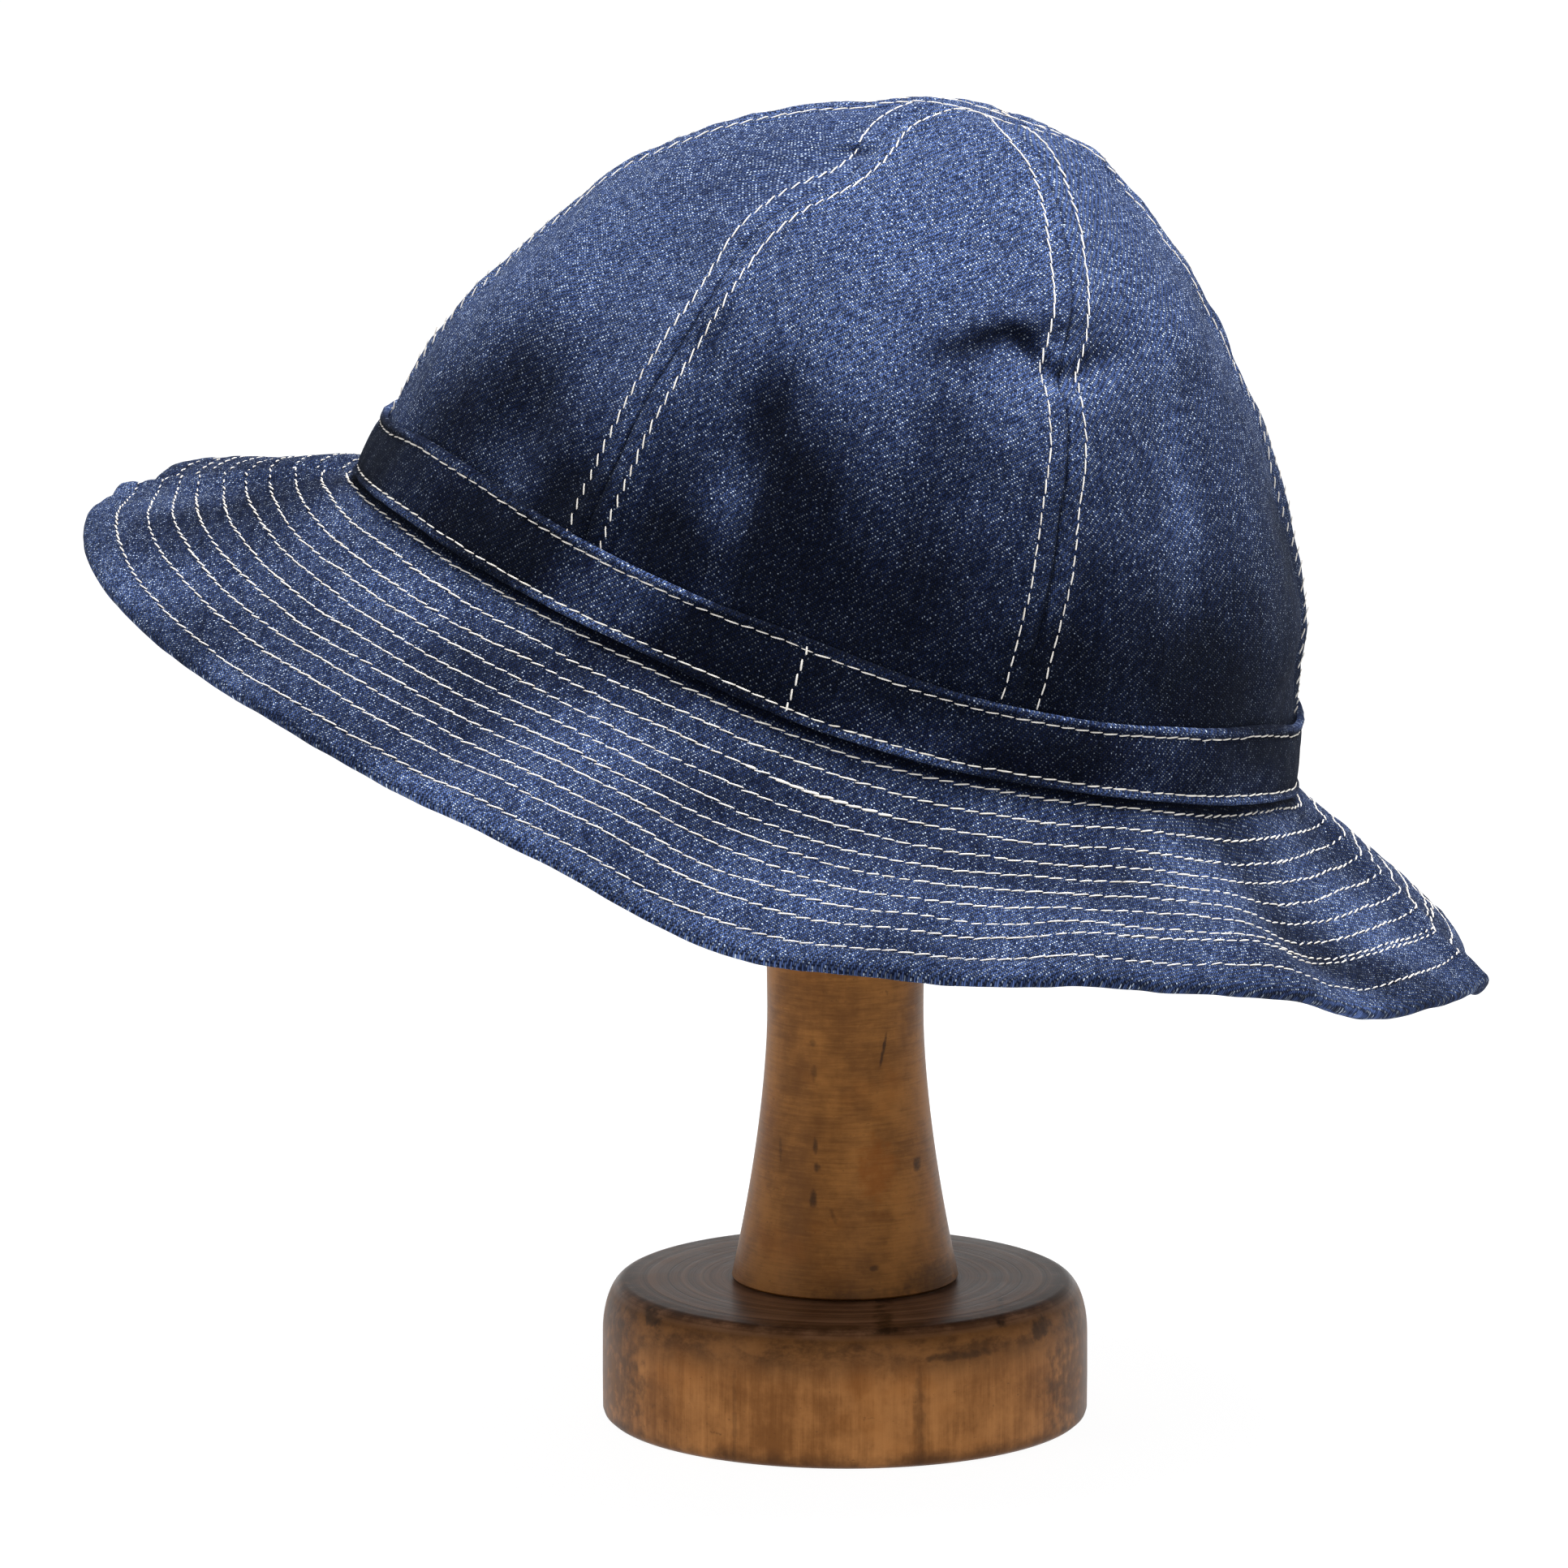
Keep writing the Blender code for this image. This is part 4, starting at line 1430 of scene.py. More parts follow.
@dataclass
class HatbandCloth:
    """Strip round the crown's foot with folded lips, two rows of stitches and a stitched join."""

    columns: int = 720
    width: float = 15.6 * MM
    join: float = 267.2
    join_stitches: float = 268.1
    lap: float = 0.38 * MM
    row_heights: Tuple[float, float] = (2.1 * MM, 13.5 * MM)
    mean_radius: float = 0.095
    flat_size: Tuple[float, float] = (0.019, 0.61)
    swells: Tuple[Ripple, ...] = (Ripple(24 * MM, 0.28 * MM, 21), Ripple(7 * MM, 0.10 * MM, 22))
    blotches: Ripple = Ripple(35 * MM, 0.30, 23)

    # Section from the inner lower corner round the outside: height in mm, distance off the crown in mm
    section: Tuple[Tuple[float, float], ...] = (
        (0.20, 0.30), (0.15, 0.80), (0.25, 1.45), (0.55, 2.10), (0.95, 2.40), (1.40, 2.32), (1.80, 1.90),
        (2.10, 1.55), (2.45, 1.68), (3.10, 1.85), (4.40, 1.95), (6.20, 2.02), (8.00, 2.00), (9.80, 1.95),
        (11.50, 1.84), (12.60, 1.66), (13.15, 1.48), (13.50, 1.34), (13.85, 1.56), (14.35, 1.95),
        (15.00, 2.00), (15.45, 1.65), (15.62, 1.15), (15.55, 0.75), (15.35, 0.40), (10.0, 0.30), (5.0, 0.30),
        (0.20, 0.30),
    )

    # Rise of the band's top edge round the hat, in mm
    wave: Track = Track(
        (0, 30, 90, 150, 180, 195, 205, 215, 225, 235, 245, 255,
         267, 280, 295, 305, 320, 335, 350),
        (0.0, 0.4, -0.3, 0.2, -1.3, -1.2, 0.4, 0.7, 0.5, -0.2, -0.6, -0.5,
         0.9, 0.2, -0.9, -1.1, -0.4, 0.6, -0.6),
        360.0,
    )

    def face(self, azimuth: Array, height: Array, proud: Array) -> Array:
        """Points off the crown's face.

        Args:
            azimuth: Azimuths in radians.
            height: Heights above the crown's edge, in metres.
            proud: Distances off the crown, in metres.

        Returns:
            The points in the hat's frame.
        """
        heights, _, _, _ = FORM.profile_at(np.linspace(0, 2, 60))
        share = height / FORM.crown_height
        position = np.interp(share, heights, np.linspace(0, 2, 60))
        point = FORM.crown(azimuth, position)
        point[..., 2] = height + FORM.edge_lift(azimuth)
        return point + FORM.outward(azimuth) * proud[..., None]

    def build(self, denim: bpy.types.Material, thread: bpy.types.Material) -> None:
        """Make the band and sew it.

        Args:
            denim: The band's material.
            thread: The stitches' material.
        """
        azimuth = np.linspace(0, math.tau, self.columns + 1)
        table = np.array(self.section) * MM
        round_hat, level = np.meshgrid(azimuth, np.arange(len(table)))
        height, proud = table[level, 0], table[level, 1]
        degrees = np.degrees(round_hat)
        height = height + self.wave.read(degrees) * MM * np.clip(height / self.width, 0, 1)
        outer = smooth_step(0.5 * MM, 1.2 * MM, proud)
        lapped = smooth_step(self.join - 0.35, self.join, degrees) * (1 - smooth_step(271.0, 274.0, degrees))
        lap = self.lap * lapped
        points = self.face(round_hat, height, proud)
        swell = sum(ripple.read(points) for ripple in self.swells)
        points = self.face(round_hat, height, proud + outer * (swell + lap))
        grid = ClothGrid(points, ring=True)
        length = azimuth * self.mean_radius
        uv = np.stack([np.broadcast_to(length, round_hat.shape), height + 0.02], -1)
        lip = bell(height, 1.0 * MM, 0.9 * MM) + bell(height, 14.8 * MM, 0.9 * MM)
        blotch = self.blotches.read(points)
        # Painted shade darkens the band towards 215 degrees and painted light pales it towards 322 degrees,
        # over an even dye level of 0.20.
        dye_and_painted_side_light = 0.20 - 0.14 * bell(degrees, 215.0, 35.0) + 0.08 * bell(degrees, 322.0, 25.0)
        fade = np.clip(dye_and_painted_side_light + blotch + 0.35 * lip, 0, 1)
        mesh = grid.mesh(uv, {"wear": 0.6 * lip, "fade": fade}, weld=True)
        piece = Piece("hatband_cloth", mesh, denim).settle("denim_band", "hatband")
        self.sew(piece, thread)

    def sew(self, band: Piece, thread: bpy.types.Material) -> None:
        """Lay the rows along both edges and the short row over the join.

        Args:
            band: The band that they lie on.
            thread: The stitches' material.
        """
        tree = tree_of(band)
        sewing = Sewing("hatband_stitches", 12)
        azimuth = np.radians(np.linspace(self.join, self.join + 360, 1500))
        wave = self.wave.read(np.degrees(azimuth)) * MM
        ups = FORM.turned(FORM.outward(azimuth))
        kind = StitchKind(fill=0.97, slant=math.radians(5))
        for level in self.row_heights:
            height = level + wave * level / self.width
            row = self.face(azimuth, height, np.full_like(height, 1.7 * MM))
            sewing.run(FORM.to_world(row), ups, tree, kind, closed=True)
        height = np.linspace(15.3 * MM, 0.9 * MM, 60)
        azimuth = np.full_like(height, math.radians(self.join_stitches))
        join = self.face(azimuth, height, np.full_like(height, 2.2 * MM))
        kind = StitchKind(pitch=2.85 * MM, fill=0.93, half_width=0.21 * MM, dip=0.34 * MM)
        sewing.run(FORM.to_world(join), FORM.turned(FORM.outward(azimuth)), tree, kind)
        sewing.piece(thread).settle("denim_band")


@dataclass(frozen=True)
class BrimFold:
    """A crease that runs out over the brim.

    The line is in mm from the crown and degrees, the profile in mm along the brim and mm high, the reach in
    mm. The crown's mean radius, in mm, turns degrees into a way round the brim.
    """

    line: Tuple[Tuple[float, float], ...]
    profile: Tuple[Tuple[float, float], ...]
    pull: float
    reach: Tuple[float, float]
    crown_radius: float = 92.0

    def beyond(self, azimuth: Array, distance: Array) -> Array:
        """Way round the brim from the crease.

        Args:
            azimuth: Azimuths in radians.
            distance: Distances from the crown, in metres.

        Returns:
            The way in mm, above zero towards larger azimuths.
        """
        away, degrees = zip(*self.line)
        off = np.degrees(azimuth) - np.interp(distance / MM, away, degrees)
        return np.radians((off + 180) % 360 - 180) * (self.crown_radius + distance / MM)

    def height(self, azimuth: Array, distance: Array) -> Array:
        """Height of the cloth beside the crease, in metres."""
        beside = Track(*zip(*self.profile)).read(self.beyond(azimuth, distance))
        return beside * MM * smooth_step(2 * MM, 14 * MM, distance)

    def shift(self, azimuth: Array, distance: float) -> Array:
        """How far outward the crease pulls a row, in mm."""
        before, after = self.reach
        return np.interp(self.beyond(azimuth, distance), (-before, 0.0, after), (0.0, self.pull, 0.0))


@dataclass
class BrimCloth:
    """Two cloths of the brim, sewn together in rows, with a rolled welt at the edge."""

    top_columns: int = 780
    under_columns: int = 480
    root: float = -1.0 * MM
    roll: float = 1.75 * MM
    welt_rise: float = 0.55 * MM
    welt_edge: Tuple[float, float] = (0.2 * MM, 2.0 * MM)
    channel_depth: float = 0.46 * MM
    channel_width: float = 0.62 * MM
    wall_depth: float = 0.90 * MM
    under_edge: float = 53.0 * MM
    under_depth: float = 2.65 * MM
    under_back: float = 1.35 * MM
    top_flat: Tuple[float, float] = (0.335, 0.315)
    top_area: float = 0.052
    under_flat: Tuple[float, float] = (0.325, 0.305)
    under_area: float = 0.044
    waves: Tuple[Ripple, ...] = (Ripple(30 * MM, 0.40 * MM, 31), Ripple(8 * MM, 0.13 * MM, 32))
    crumple: Ripple = Ripple(3.4 * MM, 0.035 * MM, 33)
    blotches: Ripple = Ripple(30 * MM, 0.16, 34)
    rows: Tuple[float, ...] = (2.2, 7.5, 12.8, 18.1, 23.4, 28.7, 34.0, 39.3, 44.6, 51.6)
    mended_row: int = 2
    mended: Tuple[Tuple[float, float], ...] = ((266.2, 267.3), (269.6, 282.6))

    folds: Tuple[BrimFold, ...] = (
        BrimFold(((8.7, -2.2), (25.0, -4.2), (34.4, -5.2), (40.9, -7.3), (47.7, -9.2), (57.4, -11.0)),
                 ((-22, 0), (-8, 0.25), (0, 1.4), (7, 0.2), (18, 0)), 1.9, (20.0, 9.0)),
        BrimFold(((7.5, 177.0), (19.0, 177.0), (30.7, 174.8), (37.0, 173.5), (43.7, 170.8), (50.7, 168.8),
                  (57.4, 168.0)),
                 ((-60, 0), (-34, 2.2), (-18, 1.2), (-7, -2.0), (0, 1.8), (8, 0.6), (25, 0)),
                 1.2, (8.0, 22.0)),
    )

    # How far the two outermost rows stray inward at the lowered back, in mm
    strays: Tuple[Track, Track] = (
        Track((0, 12, 30, 45, 60, 270, 285, 303, 315, 325, 335, 350),
              (-4.2, -2.0, 0, 0, 0, 0, 0, -1.2, -2.4, -3.4, -4.4, -4.6), 360.0),
        Track((0, 12, 30, 45, 60, 270, 285, 303, 315, 335, 345, 351),
              (-4.6, -2.0, 0, 0, 0, 0, 0, -1.0, -1.8, -2.2, -3.6, -5.4), 360.0),
    )

    def row_distance(self, number: int, azimuth: Array) -> Array:
        """Distance of a stitched row from the crown, with its sway.

        Args:
            number: The row's number, from 0.
            azimuth: Azimuths in radians.

        Returns:
            The distance at each azimuth.
        """
        sway = 0.22 * np.sin(3 * azimuth + number * 1.7) + 0.14 * np.sin(7 * azimuth + number * 2.9)
        sway = sway + 0.08 * np.sin(17 * azimuth + number * 4.1)
        sway = sway + sum(fold.shift(azimuth, self.rows[number] * MM) for fold in self.folds)
        if number >= len(self.rows) - len(self.strays):
            sway = sway + self.strays[number - len(self.rows)].read(np.degrees(azimuth))
        return (self.rows[number] + sway) * MM

    def relief(self, azimuth: Array, distance: Array, points: Array) -> Tuple[Array, Array]:
        """Height of channels, welt and puckers on the brim's face.

        Args:
            azimuth: Azimuths in radians.
            distance: Distances from the crown.
            points: The same places in the hat's frame.

        Returns:
            The height, and the wear that pales the raised cloth, with painted light on the welt towards 268
            degrees.
        """
        height = np.zeros_like(distance)
        for number in range(len(self.rows)):
            off = distance - self.row_distance(number, azimuth)
            pucker = 0.65 + 0.35 * np.sin(azimuth * 250 + number * 2.0)
            height -= self.channel_depth * pucker * np.exp(-np.abs(off / self.channel_width) ** 1.5)
        height += self.crumple.read(points)
        last = self.row_distance(len(self.rows) - 1, azimuth)
        welt = smooth_step(*self.welt_edge, distance - last)
        height += welt * self.welt_rise
        # The welt pales with wear all round; the extra paling towards 268 degrees is painted light on its
        # down-facing roll.
        return height, 0.2 + (0.55 + 0.75 * bell(np.degrees(azimuth), 268.0, 30.0)) * welt

    def face(self, azimuth: Array, distance: Array, depth: Array) -> Array:
        """Points on or under the brim's creased and waving face.

        Args:
            azimuth: Azimuths in radians.
            distance: Distances from the crown.
            depth: Depths below the face.

        Returns:
            The points in the hat's frame.
        """
        point = FORM.brim_face(azimuth, distance)
        waves = sum(wave.read(point) for wave in self.waves)
        rise = waves * smooth_step(-4 * MM, 12 * MM, distance) - depth
        rise = rise + sum(fold.height(azimuth, distance) for fold in self.folds)
        return point + FORM.brim_up(azimuth, distance) * rise[..., None]

    def flat_place(self, azimuth: Array, distance: Array) -> Array:
        """Place on the brim's flat cloth, in metres."""
        point = FORM.plan(azimuth, 1.0, 1.0, 1.0) + FORM.outward(azimuth) * distance[..., None]
        return point[..., :2]

    def top_section(self) -> Tuple[Array, Array, Array]:
        """Closed section of the upper cloth.

        Returns:
            Distance, depth, and the share of the face's relief.
        """
        edge = FORM.brim_width - self.roll
        face = np.linspace(self.root, edge, 78)
        parts = [(face, 0 * face, 0 * face + 1)]
        angle = np.radians(np.linspace(78, -90, 10))
        sunk = self.roll - self.welt_rise
        around, above = np.cos(angle), np.sin(angle)
        parts.append((edge + self.roll * around, sunk - self.roll * above, np.maximum(above, 0)))
        back = np.array([54.5, 53.4, 52.3, 51.4]) * MM
        under = sunk + self.roll
        parts.append((back, np.array([0.0, 0.05, 0.12, 0.2]) * MM + under - 0.1 * MM, 0 * back))
        wall = np.linspace(48 * MM, self.root, 20)
        inner = np.concatenate([np.array([51.2, 53.8, 53.8]) * MM, wall])
        depth = np.concatenate([np.array([2.85, 2.75, 0.95]) * MM, 0 * wall + self.wall_depth])
        parts.append((inner, depth, 0 * inner))
        parts.append((face[:1], 0 * face[:1], 0 * face[:1] + 1))
        return tuple(np.concatenate([part[index] for part in parts]) for index in range(3))

    def lining_section(self) -> Tuple[Array, Array, Array]:
        """Closed section of the lower cloth.

        Returns:
            Distance, depth, and the share of the face's relief.
        """
        face = np.linspace(self.root, self.under_edge, 55)
        back = np.linspace(self.under_edge, self.root, 22)
        distance = np.concatenate([face, back, face[:1]])
        depth = np.concatenate([0 * face + self.under_depth, 0 * back + self.under_back, [self.under_depth]])
        share = np.concatenate([0 * face + 1, 0 * back, [1.0]])
        return distance, depth, share

    def cloth(self, name: str, side: Side, columns: int, denim: bpy.types.Material) -> Piece:
        """One cloth of the brim.

        Args:
            name: The piece's name.
            side: Which cloth it is.
            columns: Steps round the hat.
            denim: Its material.

        Returns:
            The piece.
        """
        if side is Side.TOP:
            distance, depth, share = self.top_section()
            round_hat, far = np.meshgrid(np.linspace(math.tau, 0, columns + 1), distance)
            widened = bell(np.degrees(round_hat), 186.0, 24.0) * smooth_step(51 * MM, 56 * MM, far)
            far = far + 1.5 * MM * widened
        else:
            distance, depth, share = self.lining_section()
            round_hat, far = np.meshgrid(np.linspace(0, math.tau, columns + 1), distance)
        base = FORM.brim_face(round_hat, far)
        height, wear = self.relief(round_hat, far, base)
        share = share[:, None]
        if side is Side.TOP:
            welt = smooth_step(*self.welt_edge, far - self.row_distance(len(self.rows) - 1, round_hat))
            lift = (height - welt * self.welt_rise) * share + welt * self.welt_rise * (share >= 1)
        else:
            lift = (0.25 * MM - np.minimum(height, 0.25 * MM)) * share
        grid = ClothGrid(self.face(round_hat, far, depth[:, None] - lift), ring=True)
        # Painted shadow under the band's lower lip: the cloth next to the crown is darkened nearly to black
        # and loses its wear.
        painted_lip_shadow = 1 - smooth_step(0.5 * MM, 2.5 * MM, far)
        fade = np.clip(0.53 + self.blotches.read(base), 0, 1) * (1 - 0.95 * painted_lip_shadow)
        numbers = {"wear": wear * (1 - painted_lip_shadow), "fade": fade - 0.1 * painted_lip_shadow}
        mesh = grid.mesh(self.flat_place(round_hat, far), numbers, weld=True)
        return Piece(name, mesh, denim)

    def build(
        self, denim: bpy.types.Material, lining: bpy.types.Material, thread: bpy.types.Material,
    ) -> None:
        """Make both cloths and sew them together.

        Args:
            denim: The upper cloth's material.
            lining: The lower cloth's material.
            thread: The stitches' material.
        """
        top = self.cloth("brim_cloth_top", Side.TOP, self.top_columns, denim)
        top.settle("denim_brim", "brim_top")
        under = self.cloth("brim_cloth_under", Side.UNDER, self.under_columns, lining)
        under.settle("denim_lining", "brim_under")
        self.sew("brim_stitches_top", top, Side.TOP, thread, 13)
        self.sew("brim_stitches_under", under, Side.UNDER, thread, 14)

    def sew(self, name: str, cloth: Piece, side: Side, thread: bpy.types.Material, seed: int) -> None:
        """Lay every row of stitches on one side of the brim.

        Args:
            name: The piece's name.
            cloth: The cloth that they lie on.
            side: Which side it is.
            thread: The stitches' material.
            seed: Seed of their small differences.
        """
        tree = tree_of(cloth)
        sewing = Sewing(name, seed)
        azimuth = np.linspace(0, math.tau, 1800)
        depth = -0.3 * MM if side is Side.TOP else 2.9 * MM
        kind = StitchKind() if side is Side.TOP else StitchKind(slant=math.radians(-6), fill=0.85)
        for number in range(len(self.rows)):
            distance = self.row_distance(number, azimuth)
            row = self.face(azimuth, distance, np.full_like(distance, depth))
            ups = FORM.turned(FORM.brim_up(azimuth, distance)) * (1 if side is Side.TOP else -1)
            sewing.run(FORM.to_world(row), ups, tree, kind, closed=True, offset=self._start(number))
        if side is Side.TOP:
            thick = StitchKind(
                pitch=3.1 * MM, fill=1.0, half_width=0.31 * MM, half_height=0.24 * MM, rise=0.20 * MM,
            )
            for start, end in self.mended:
                azimuth = np.radians(np.linspace(start, end, 60))
                distance = self.row_distance(self.mended_row, azimuth)
                row = self.face(azimuth, distance, np.full_like(distance, depth))
                sewing.run(FORM.to_world(row), FORM.turned(FORM.brim_up(azimuth, distance)), tree, thick)
        sewing.piece(thread).settle("denim_brim" if side is Side.TOP else "denim_lining")

    @staticmethod
    def _start(number: int) -> float:
        """Shift of a row's stitches, so that neighbouring rows don't line up."""
        return (number * 0.37) % 1.0


@dataclass
class TurnedStand:
    """Foot, neck and dome, turned on a lathe."""

    steps: int = 144
    gap: float = 0.3 * MM
    foot_radius: float = 50.8 * MM
    foot_height: float = 28.9 * MM
    foot_round: Tuple[float, float] = (4.8 * MM, 11.4 * MM)
    neck_length: float = 191.0 * MM
    neck_waist: float = 0.295
    waist_radius: float = 16.3 * MM
    neck_low_radius: float = 23.8 * MM
    neck_top_radius: float = 24.0 * MM
    neck_flare: float = 1.65
    dome_radius: float = 56.0 * MM
    dome_rim: float = 10.0 * MM
    dome_rise: float = 42.0 * MM

    neck_marks: Tuple[Mark, ...] = (
        Mark(7.8, 80.4, 0.45, 4.2, 0.80, 0.18), Mark(-6.8, 82.0, 0.8, 1.6, 0.45),
        Mark(-6.6, 75.5, 0.8, 2.2, 0.40), Mark(-6.3, 61.0, 0.7, 2.6, 0.70),
        Mark(-6.0, 56.0, 0.9, 1.4, 0.75), Mark(-6.7, 50.0, 1.0, 2.4, 0.75),
        Mark(14.9, 55.5, 1.0, 2.0, 0.80), Mark(-2.5, 46.1, 0.7, 2.2, 0.60, -0.30),
        Mark(-13.5, 59.0, 0.4, 3.5, 0.40), Mark(6.0, 35.5, 1.3, 0.8, 0.60),
        # The wide marks at x 19 and 4 mm make the neck darker towards its foot and its lower right.
        Mark(19.0, 31.0, 8.0, 5.0, 0.50), Mark(4.0, 30.0, 14.0, 1.8, 0.35),
        Mark(6.4, 55.5, 5.0, 8.0, 0.60, 0.0, (0.200, 0.055, 0.004)),
        Mark(7.5, 46.0, 3.5, 1.2, 0.45, 0.0, (0.120, 0.036, 0.004)),
    )
    foot_marks: Tuple[Mark, ...] = (
        Mark(-40.0, 26.5, 2.2, 2.0, 0.75), Mark(7.8, 28.3, 3.2, 0.9, 0.90),
        Mark(32.0, 27.6, 1.6, 1.5, 0.95), Mark(40.0, 24.5, 2.6, 3.0, 0.75),
        Mark(22.5, 22.6, 9.5, 1.1, 0.60), Mark(15.0, 9.0, 1.6, 15.0, 0.32),
        # The wide marks at x -50 and 50 mm are painted shade down the foot's left and right edges.
        Mark(-23.0, 9.0, 0.6, 14.0, 0.25), Mark(-50.0, 12.0, 10.0, 20.0, 0.62),
        Mark(50.0, 11.0, 10.0, 20.0, 0.64), Mark(8.5, 11.0, 5.5, 12.0, 0.35, 0.0, (0.400, 0.170, 0.050)),
    )

    def neck_radius(self, share: float) -> float:
        """Radius of the neck.

        Args:
            share: Share of its length, from its foot.

        Returns:
            The radius.
        """
        if share < self.neck_waist:
            reach, end = (self.neck_waist - share) / self.neck_waist, self.neck_low_radius
        else:
            reach, end = (share - self.neck_waist) / (1 - self.neck_waist), self.neck_top_radius
        return self.waist_radius + (end - self.waist_radius) * reach ** self.neck_flare

    def base_profile(self) -> List[Tuple[float, float]]:
        """Outline of the foot.

        Returns:
            Radius and height from the middle of its top to the middle of its underside.
        """
        steps = 12
        out, down = self.foot_round
        top = self.foot_height
        outline = [(0.0, top), (20 * MM, top), (36 * MM, top - 0.1 * MM)]
        for index in range(steps + 1):
            angle = math.pi / 2 * (1 - index / steps)
            outline.append((
                self.foot_radius - out + out * math.cos(angle),
                top - down + (down - 0.15 * MM) * math.sin(angle),
            ))
        outline += [(self.foot_radius + 0.05 * MM, 9 * MM), (self.foot_radius, 1.6 * MM)]
        outline += [(self.foot_radius - 0.3 * MM, 0.7 * MM), (self.foot_radius - 1.1 * MM, 0.0), (0.0, 0.0)]
        return outline

    def neck_profile(self) -> List[Tuple[float, float]]:
        """Outline of the neck.

        Returns:
            Radius and height from its top to its foot.
        """
        foot = self.foot_height + self.gap
        top = foot + self.neck_length
        steps = 60
        shares = [1 - index / steps for index in range(steps)]
        outline = [(0.0, top)]
        outline += [(self.neck_radius(share), foot + share * self.neck_length) for share in shares]
        low = self.neck_radius(0)
        return outline + [(low - 0.1 * MM, foot + 0.4 * MM), (low - 0.5 * MM, foot), (0.0, foot)]

    def dome_profile(self) -> List[Tuple[float, float]]:
        """Outline of the dome.

        Returns:
            Radius and height from its tip to its underside.
        """
        foot = self.foot_height + 2 * self.gap + self.neck_length
        steps = 24
        wide, rise = self.dome_radius, self.dome_rise - 0.15 * MM
        angles = [math.pi / 2 * (1 - index / steps) for index in range(steps + 1)]
        outline = [(wide * math.cos(turn), foot + self.dome_rim + rise * math.sin(turn)) for turn in angles]
        outline += [(wide, foot + 4 * MM), (wide - 1.2 * MM, foot + 1.2 * MM)]
        return outline + [(wide - 4 * MM, foot), (0.0, foot)]

    def turn(self, name: str, outline: Sequence[Tuple[float, float]], material: bpy.types.Material) -> Piece:
        """Turn an outline about the stand's axis.

        Args:
            name: The piece's name.
            outline: Radius and height from the top down.
            material: The piece's material.

        Returns:
            The piece.
        """
        shape = bmesh.new()
        corners = [shape.verts.new((max(radius, 0.0), 0.0, height)) for radius, height in outline]
        edges = [shape.edges.new(pair) for pair in zip(corners, corners[1:])]
        bmesh.ops.spin(
            shape, geom=corners + edges, cent=(0, 0, 0), axis=(0, 0, 1), angle=math.tau, steps=self.steps,
            use_merge=True,
        )
        bmesh.ops.remove_doubles(shape, verts=shape.verts, dist=1e-6)
        bmesh.ops.recalc_face_normals(shape, faces=shape.faces)
        mesh = bpy.data.meshes.new(name)
        shape.to_mesh(mesh)
        shape.free()
        piece = Piece(name, mesh, material)
        mesh.set_sharp_from_angle(angle=math.radians(50))
        return piece

    def build(self) -> None:
        """Make the three turned pieces."""
        base = WoodFinish(
            "stand_foot_wood", pale=(0.378, 0.160, 0.047), brown=(0.175, 0.064, 0.014), grain=1.25,
            scratches=0.15, top_height=self.foot_height, marks=self.foot_marks,
        ).material()
        neck = WoodFinish("stand_neck_wood", grain=0.25, scratches=1.15, marks=self.neck_marks).material()
        dome = WoodFinish("stand_dome_wood", roughness=0.55).material()
        self.turn("turned_foot", self.base_profile(), base).settle("wood_base", "stand_base")
        self.turn("turned_neck", self.neck_profile(), neck).settle("wood_neck", "stand_neck")
        self.turn("turned_dome", self.dome_profile(), dome).settle("wood_dome", "stand_dome")


@dataclass(frozen=True)
class Softbox:
    """A soft rectangular light: where it hangs, its width and height, and its power in watts."""

    name: str
    place: Tuple[float, float, float]
    size: Tuple[float, float]
    power: float

    def hang(self, aim: Vector) -> None:
        """Put the light in the scene.

        Args:
            aim: The point that it faces.
        """
        light = bpy.data.lights.new(self.name, "AREA")
        light.shape = "RECTANGLE"
        light.size, light.size_y = self.size
        light.energy = self.power
        item = bpy.data.objects.new(self.name, light)
        item.location = self.place
        item.rotation_euler = (aim - Vector(self.place)).to_track_quat("-Z", "Y").to_euler()
        bpy.context.scene.collection.objects.link(item)


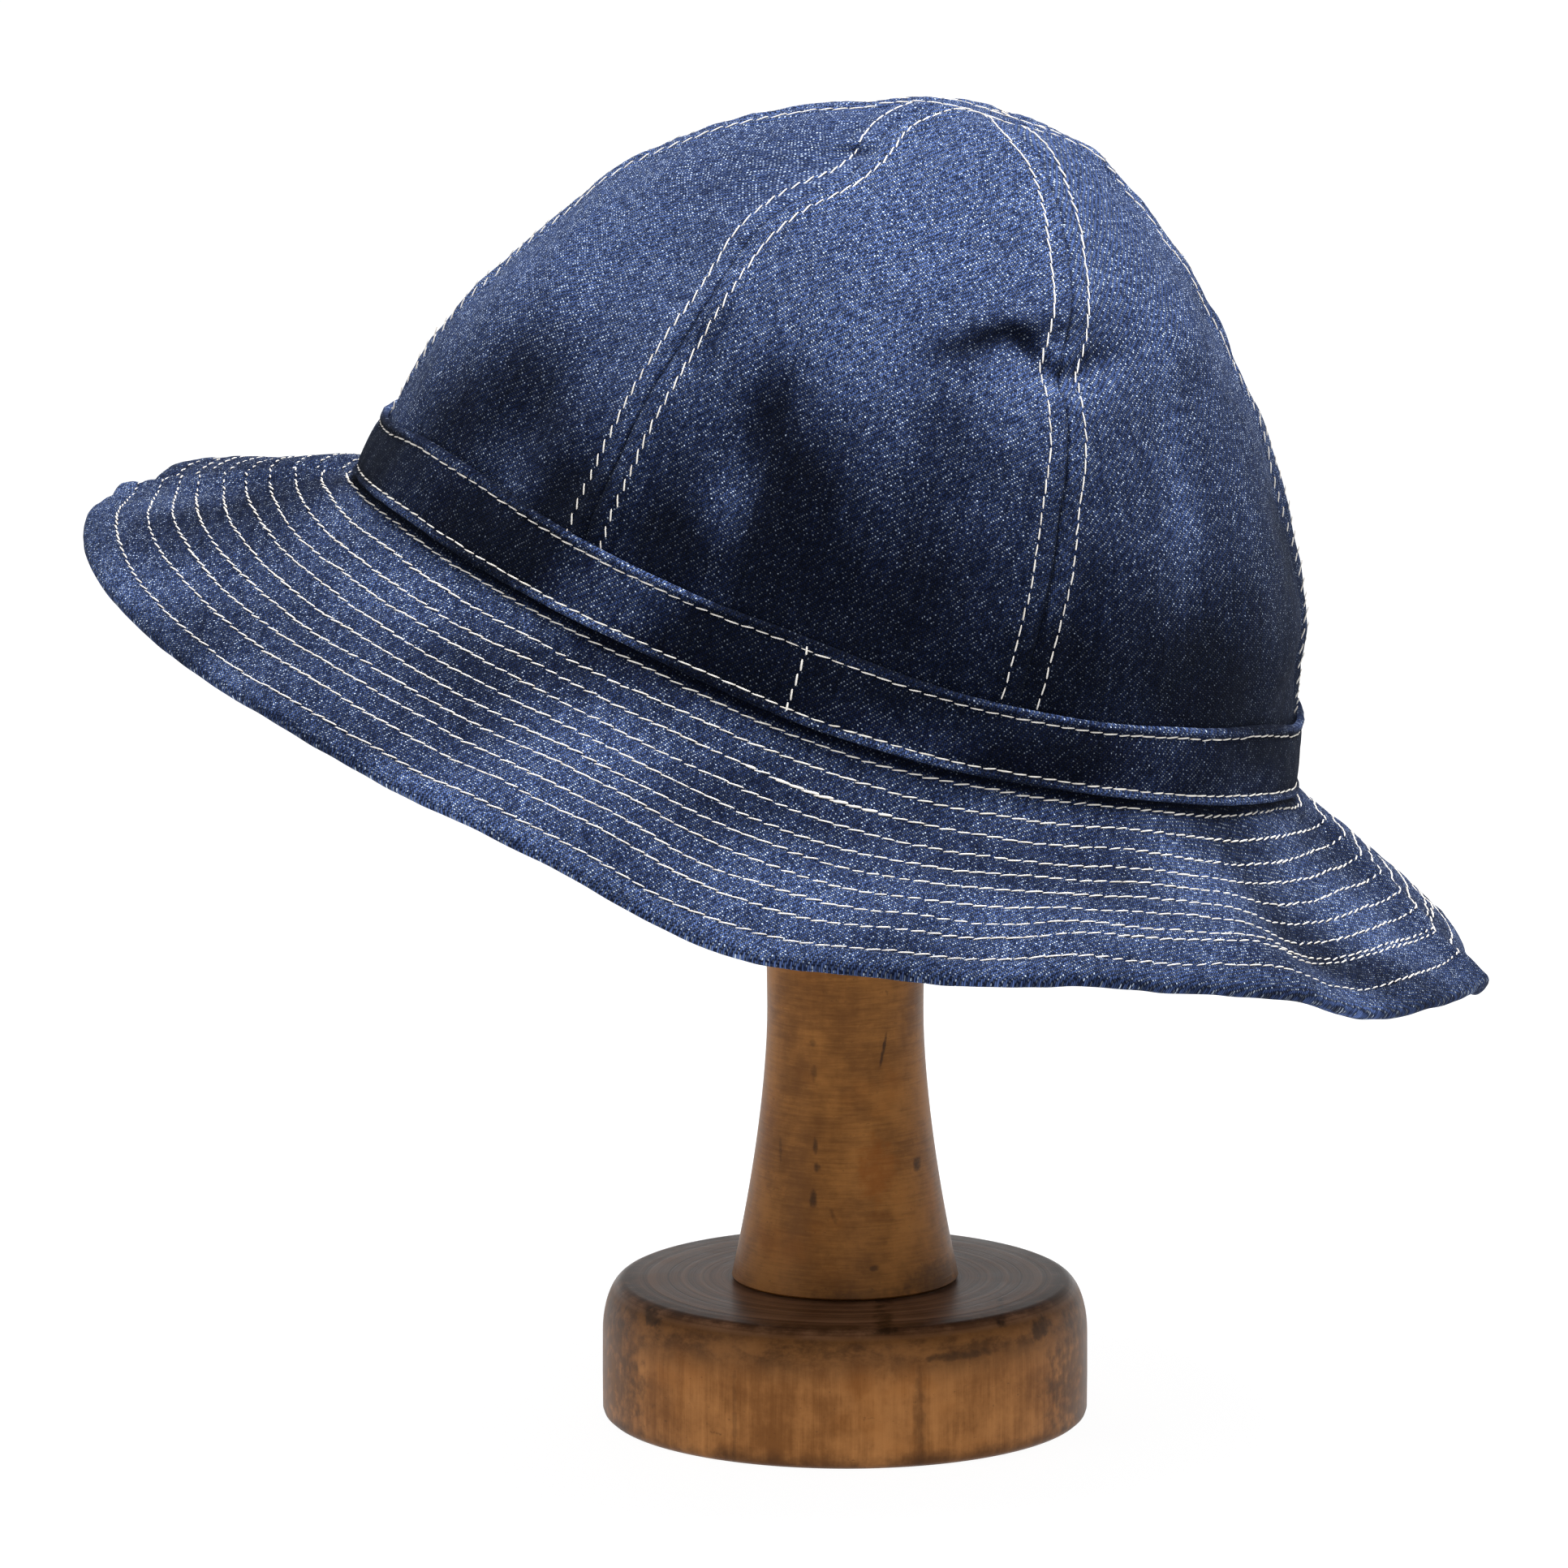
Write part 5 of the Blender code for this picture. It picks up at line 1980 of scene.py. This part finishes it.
@dataclass
class Studio:
    """Pale floor, soft lights and the camera."""

    camera_place: Tuple[float, float, float] = (-0.01279, -1.94592, 0.48032)
    camera_tilt: float = math.radians(79.9)
    lens: float = 218.57
    sensor: float = 36.0
    sky: float = 0.30
    horizon: Tuple[float, float] = (0.14, 0.30)
    floor_size: float = 14.0
    floor_place: Tuple[float, float, float] = (0.0, 6.0, -0.0002)
    floor_glow: float = 0.95
    aim: Tuple[float, float, float] = (0.0, 0.0, 0.17)
    softboxes: Tuple[Softbox, ...] = (
        Softbox("top_light", (0.40, -0.15, 1.9), (1.1, 0.9), 58.0),
        Softbox("front_light", (0.6, -2.4, 1.0), (1.2, 1.2), 4.0),
        Softbox("left_light", (-1.7, -0.9, 0.7), (0.9, 1.2), 4.0),
    )

    def floor(self) -> None:
        """Lay a wide plain floor."""
        shape = bmesh.new()
        bmesh.ops.create_grid(shape, x_segments=4, y_segments=4, size=self.floor_size)
        bmesh.ops.translate(shape, verts=shape.verts, vec=self.floor_place)
        mesh = bpy.data.meshes.new("floor")
        shape.to_mesh(mesh)
        shape.free()
        item = bpy.data.objects.new("floor", mesh)
        bpy.context.scene.collection.objects.link(item)
        paint = Shader("pale_floor")
        glow = dict(Emission_Color=(1.0, 1.0, 1.0, 1.0), Emission_Strength=self.floor_glow)
        mesh.materials.append(paint.finish(Base_Color=(0.14, 0.14, 0.14, 1.0), Roughness=0.9, **glow))

    def world(self) -> None:
        """Even pale light from all round."""
        world = bpy.data.worlds.new("studio")
        bpy.context.scene.world = world
        world.use_nodes = True
        background = world.node_tree.nodes["Background"]
        background.inputs["Color"].default_value = (1.0, 1.0, 1.0, 1.0)
        maker = NodeMaker(world.node_tree)
        _, _, height = maker.split(maker.wire(maker.node("ShaderNodeTexCoord", {}, {}), "Generated"))
        strength = maker.map_range(height, self.horizon, (1.0, self.sky))
        maker.tree.links.new(strength.socket, background.inputs["Strength"])

    def lights(self) -> None:
        """Hang the key above, a fill in front and a weak one at the left."""
        for softbox in self.softboxes:
            softbox.hang(Vector(self.aim))

    def camera(self) -> None:
        """Stand the camera where the picture was taken from."""
        data = bpy.data.cameras.new("camera")
        data.lens = self.lens
        data.sensor_width = self.sensor
        data.clip_end = 60.0
        item = bpy.data.objects.new("camera", data)
        item.location = self.camera_place
        item.rotation_euler = (self.camera_tilt, 0.0, 0.0)
        bpy.context.scene.collection.objects.link(item)
        bpy.context.scene.camera = item

    def build(self) -> None:
        """Set up the studio."""
        self.floor()
        self.world()
        self.lights()
        self.camera()
        bpy.context.scene.view_settings.view_transform = "Standard"


def main() -> None:
    """Build the hat, its stand and the studio."""
    logging.basicConfig(level=logging.INFO, format="%(message)s")
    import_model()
    denim = DenimFinish("denim_crown").material()
    band_denim = DenimFinish("denim_band", seed=3.0).material()
    brim_denim = DenimFinish("denim_brim", seed=7.0).material()
    lining = DenimFinish("denim_lining", seed=5.0).material()
    thread = ThreadFinish("cream_thread").material()
    CrownCloth().build(denim, thread)
    HatbandCloth().build(band_denim, thread)
    BrimCloth().build(brim_denim, lining, thread)
    TurnedStand().build()
    Studio().build()


if __name__ == "__main__":
    main()
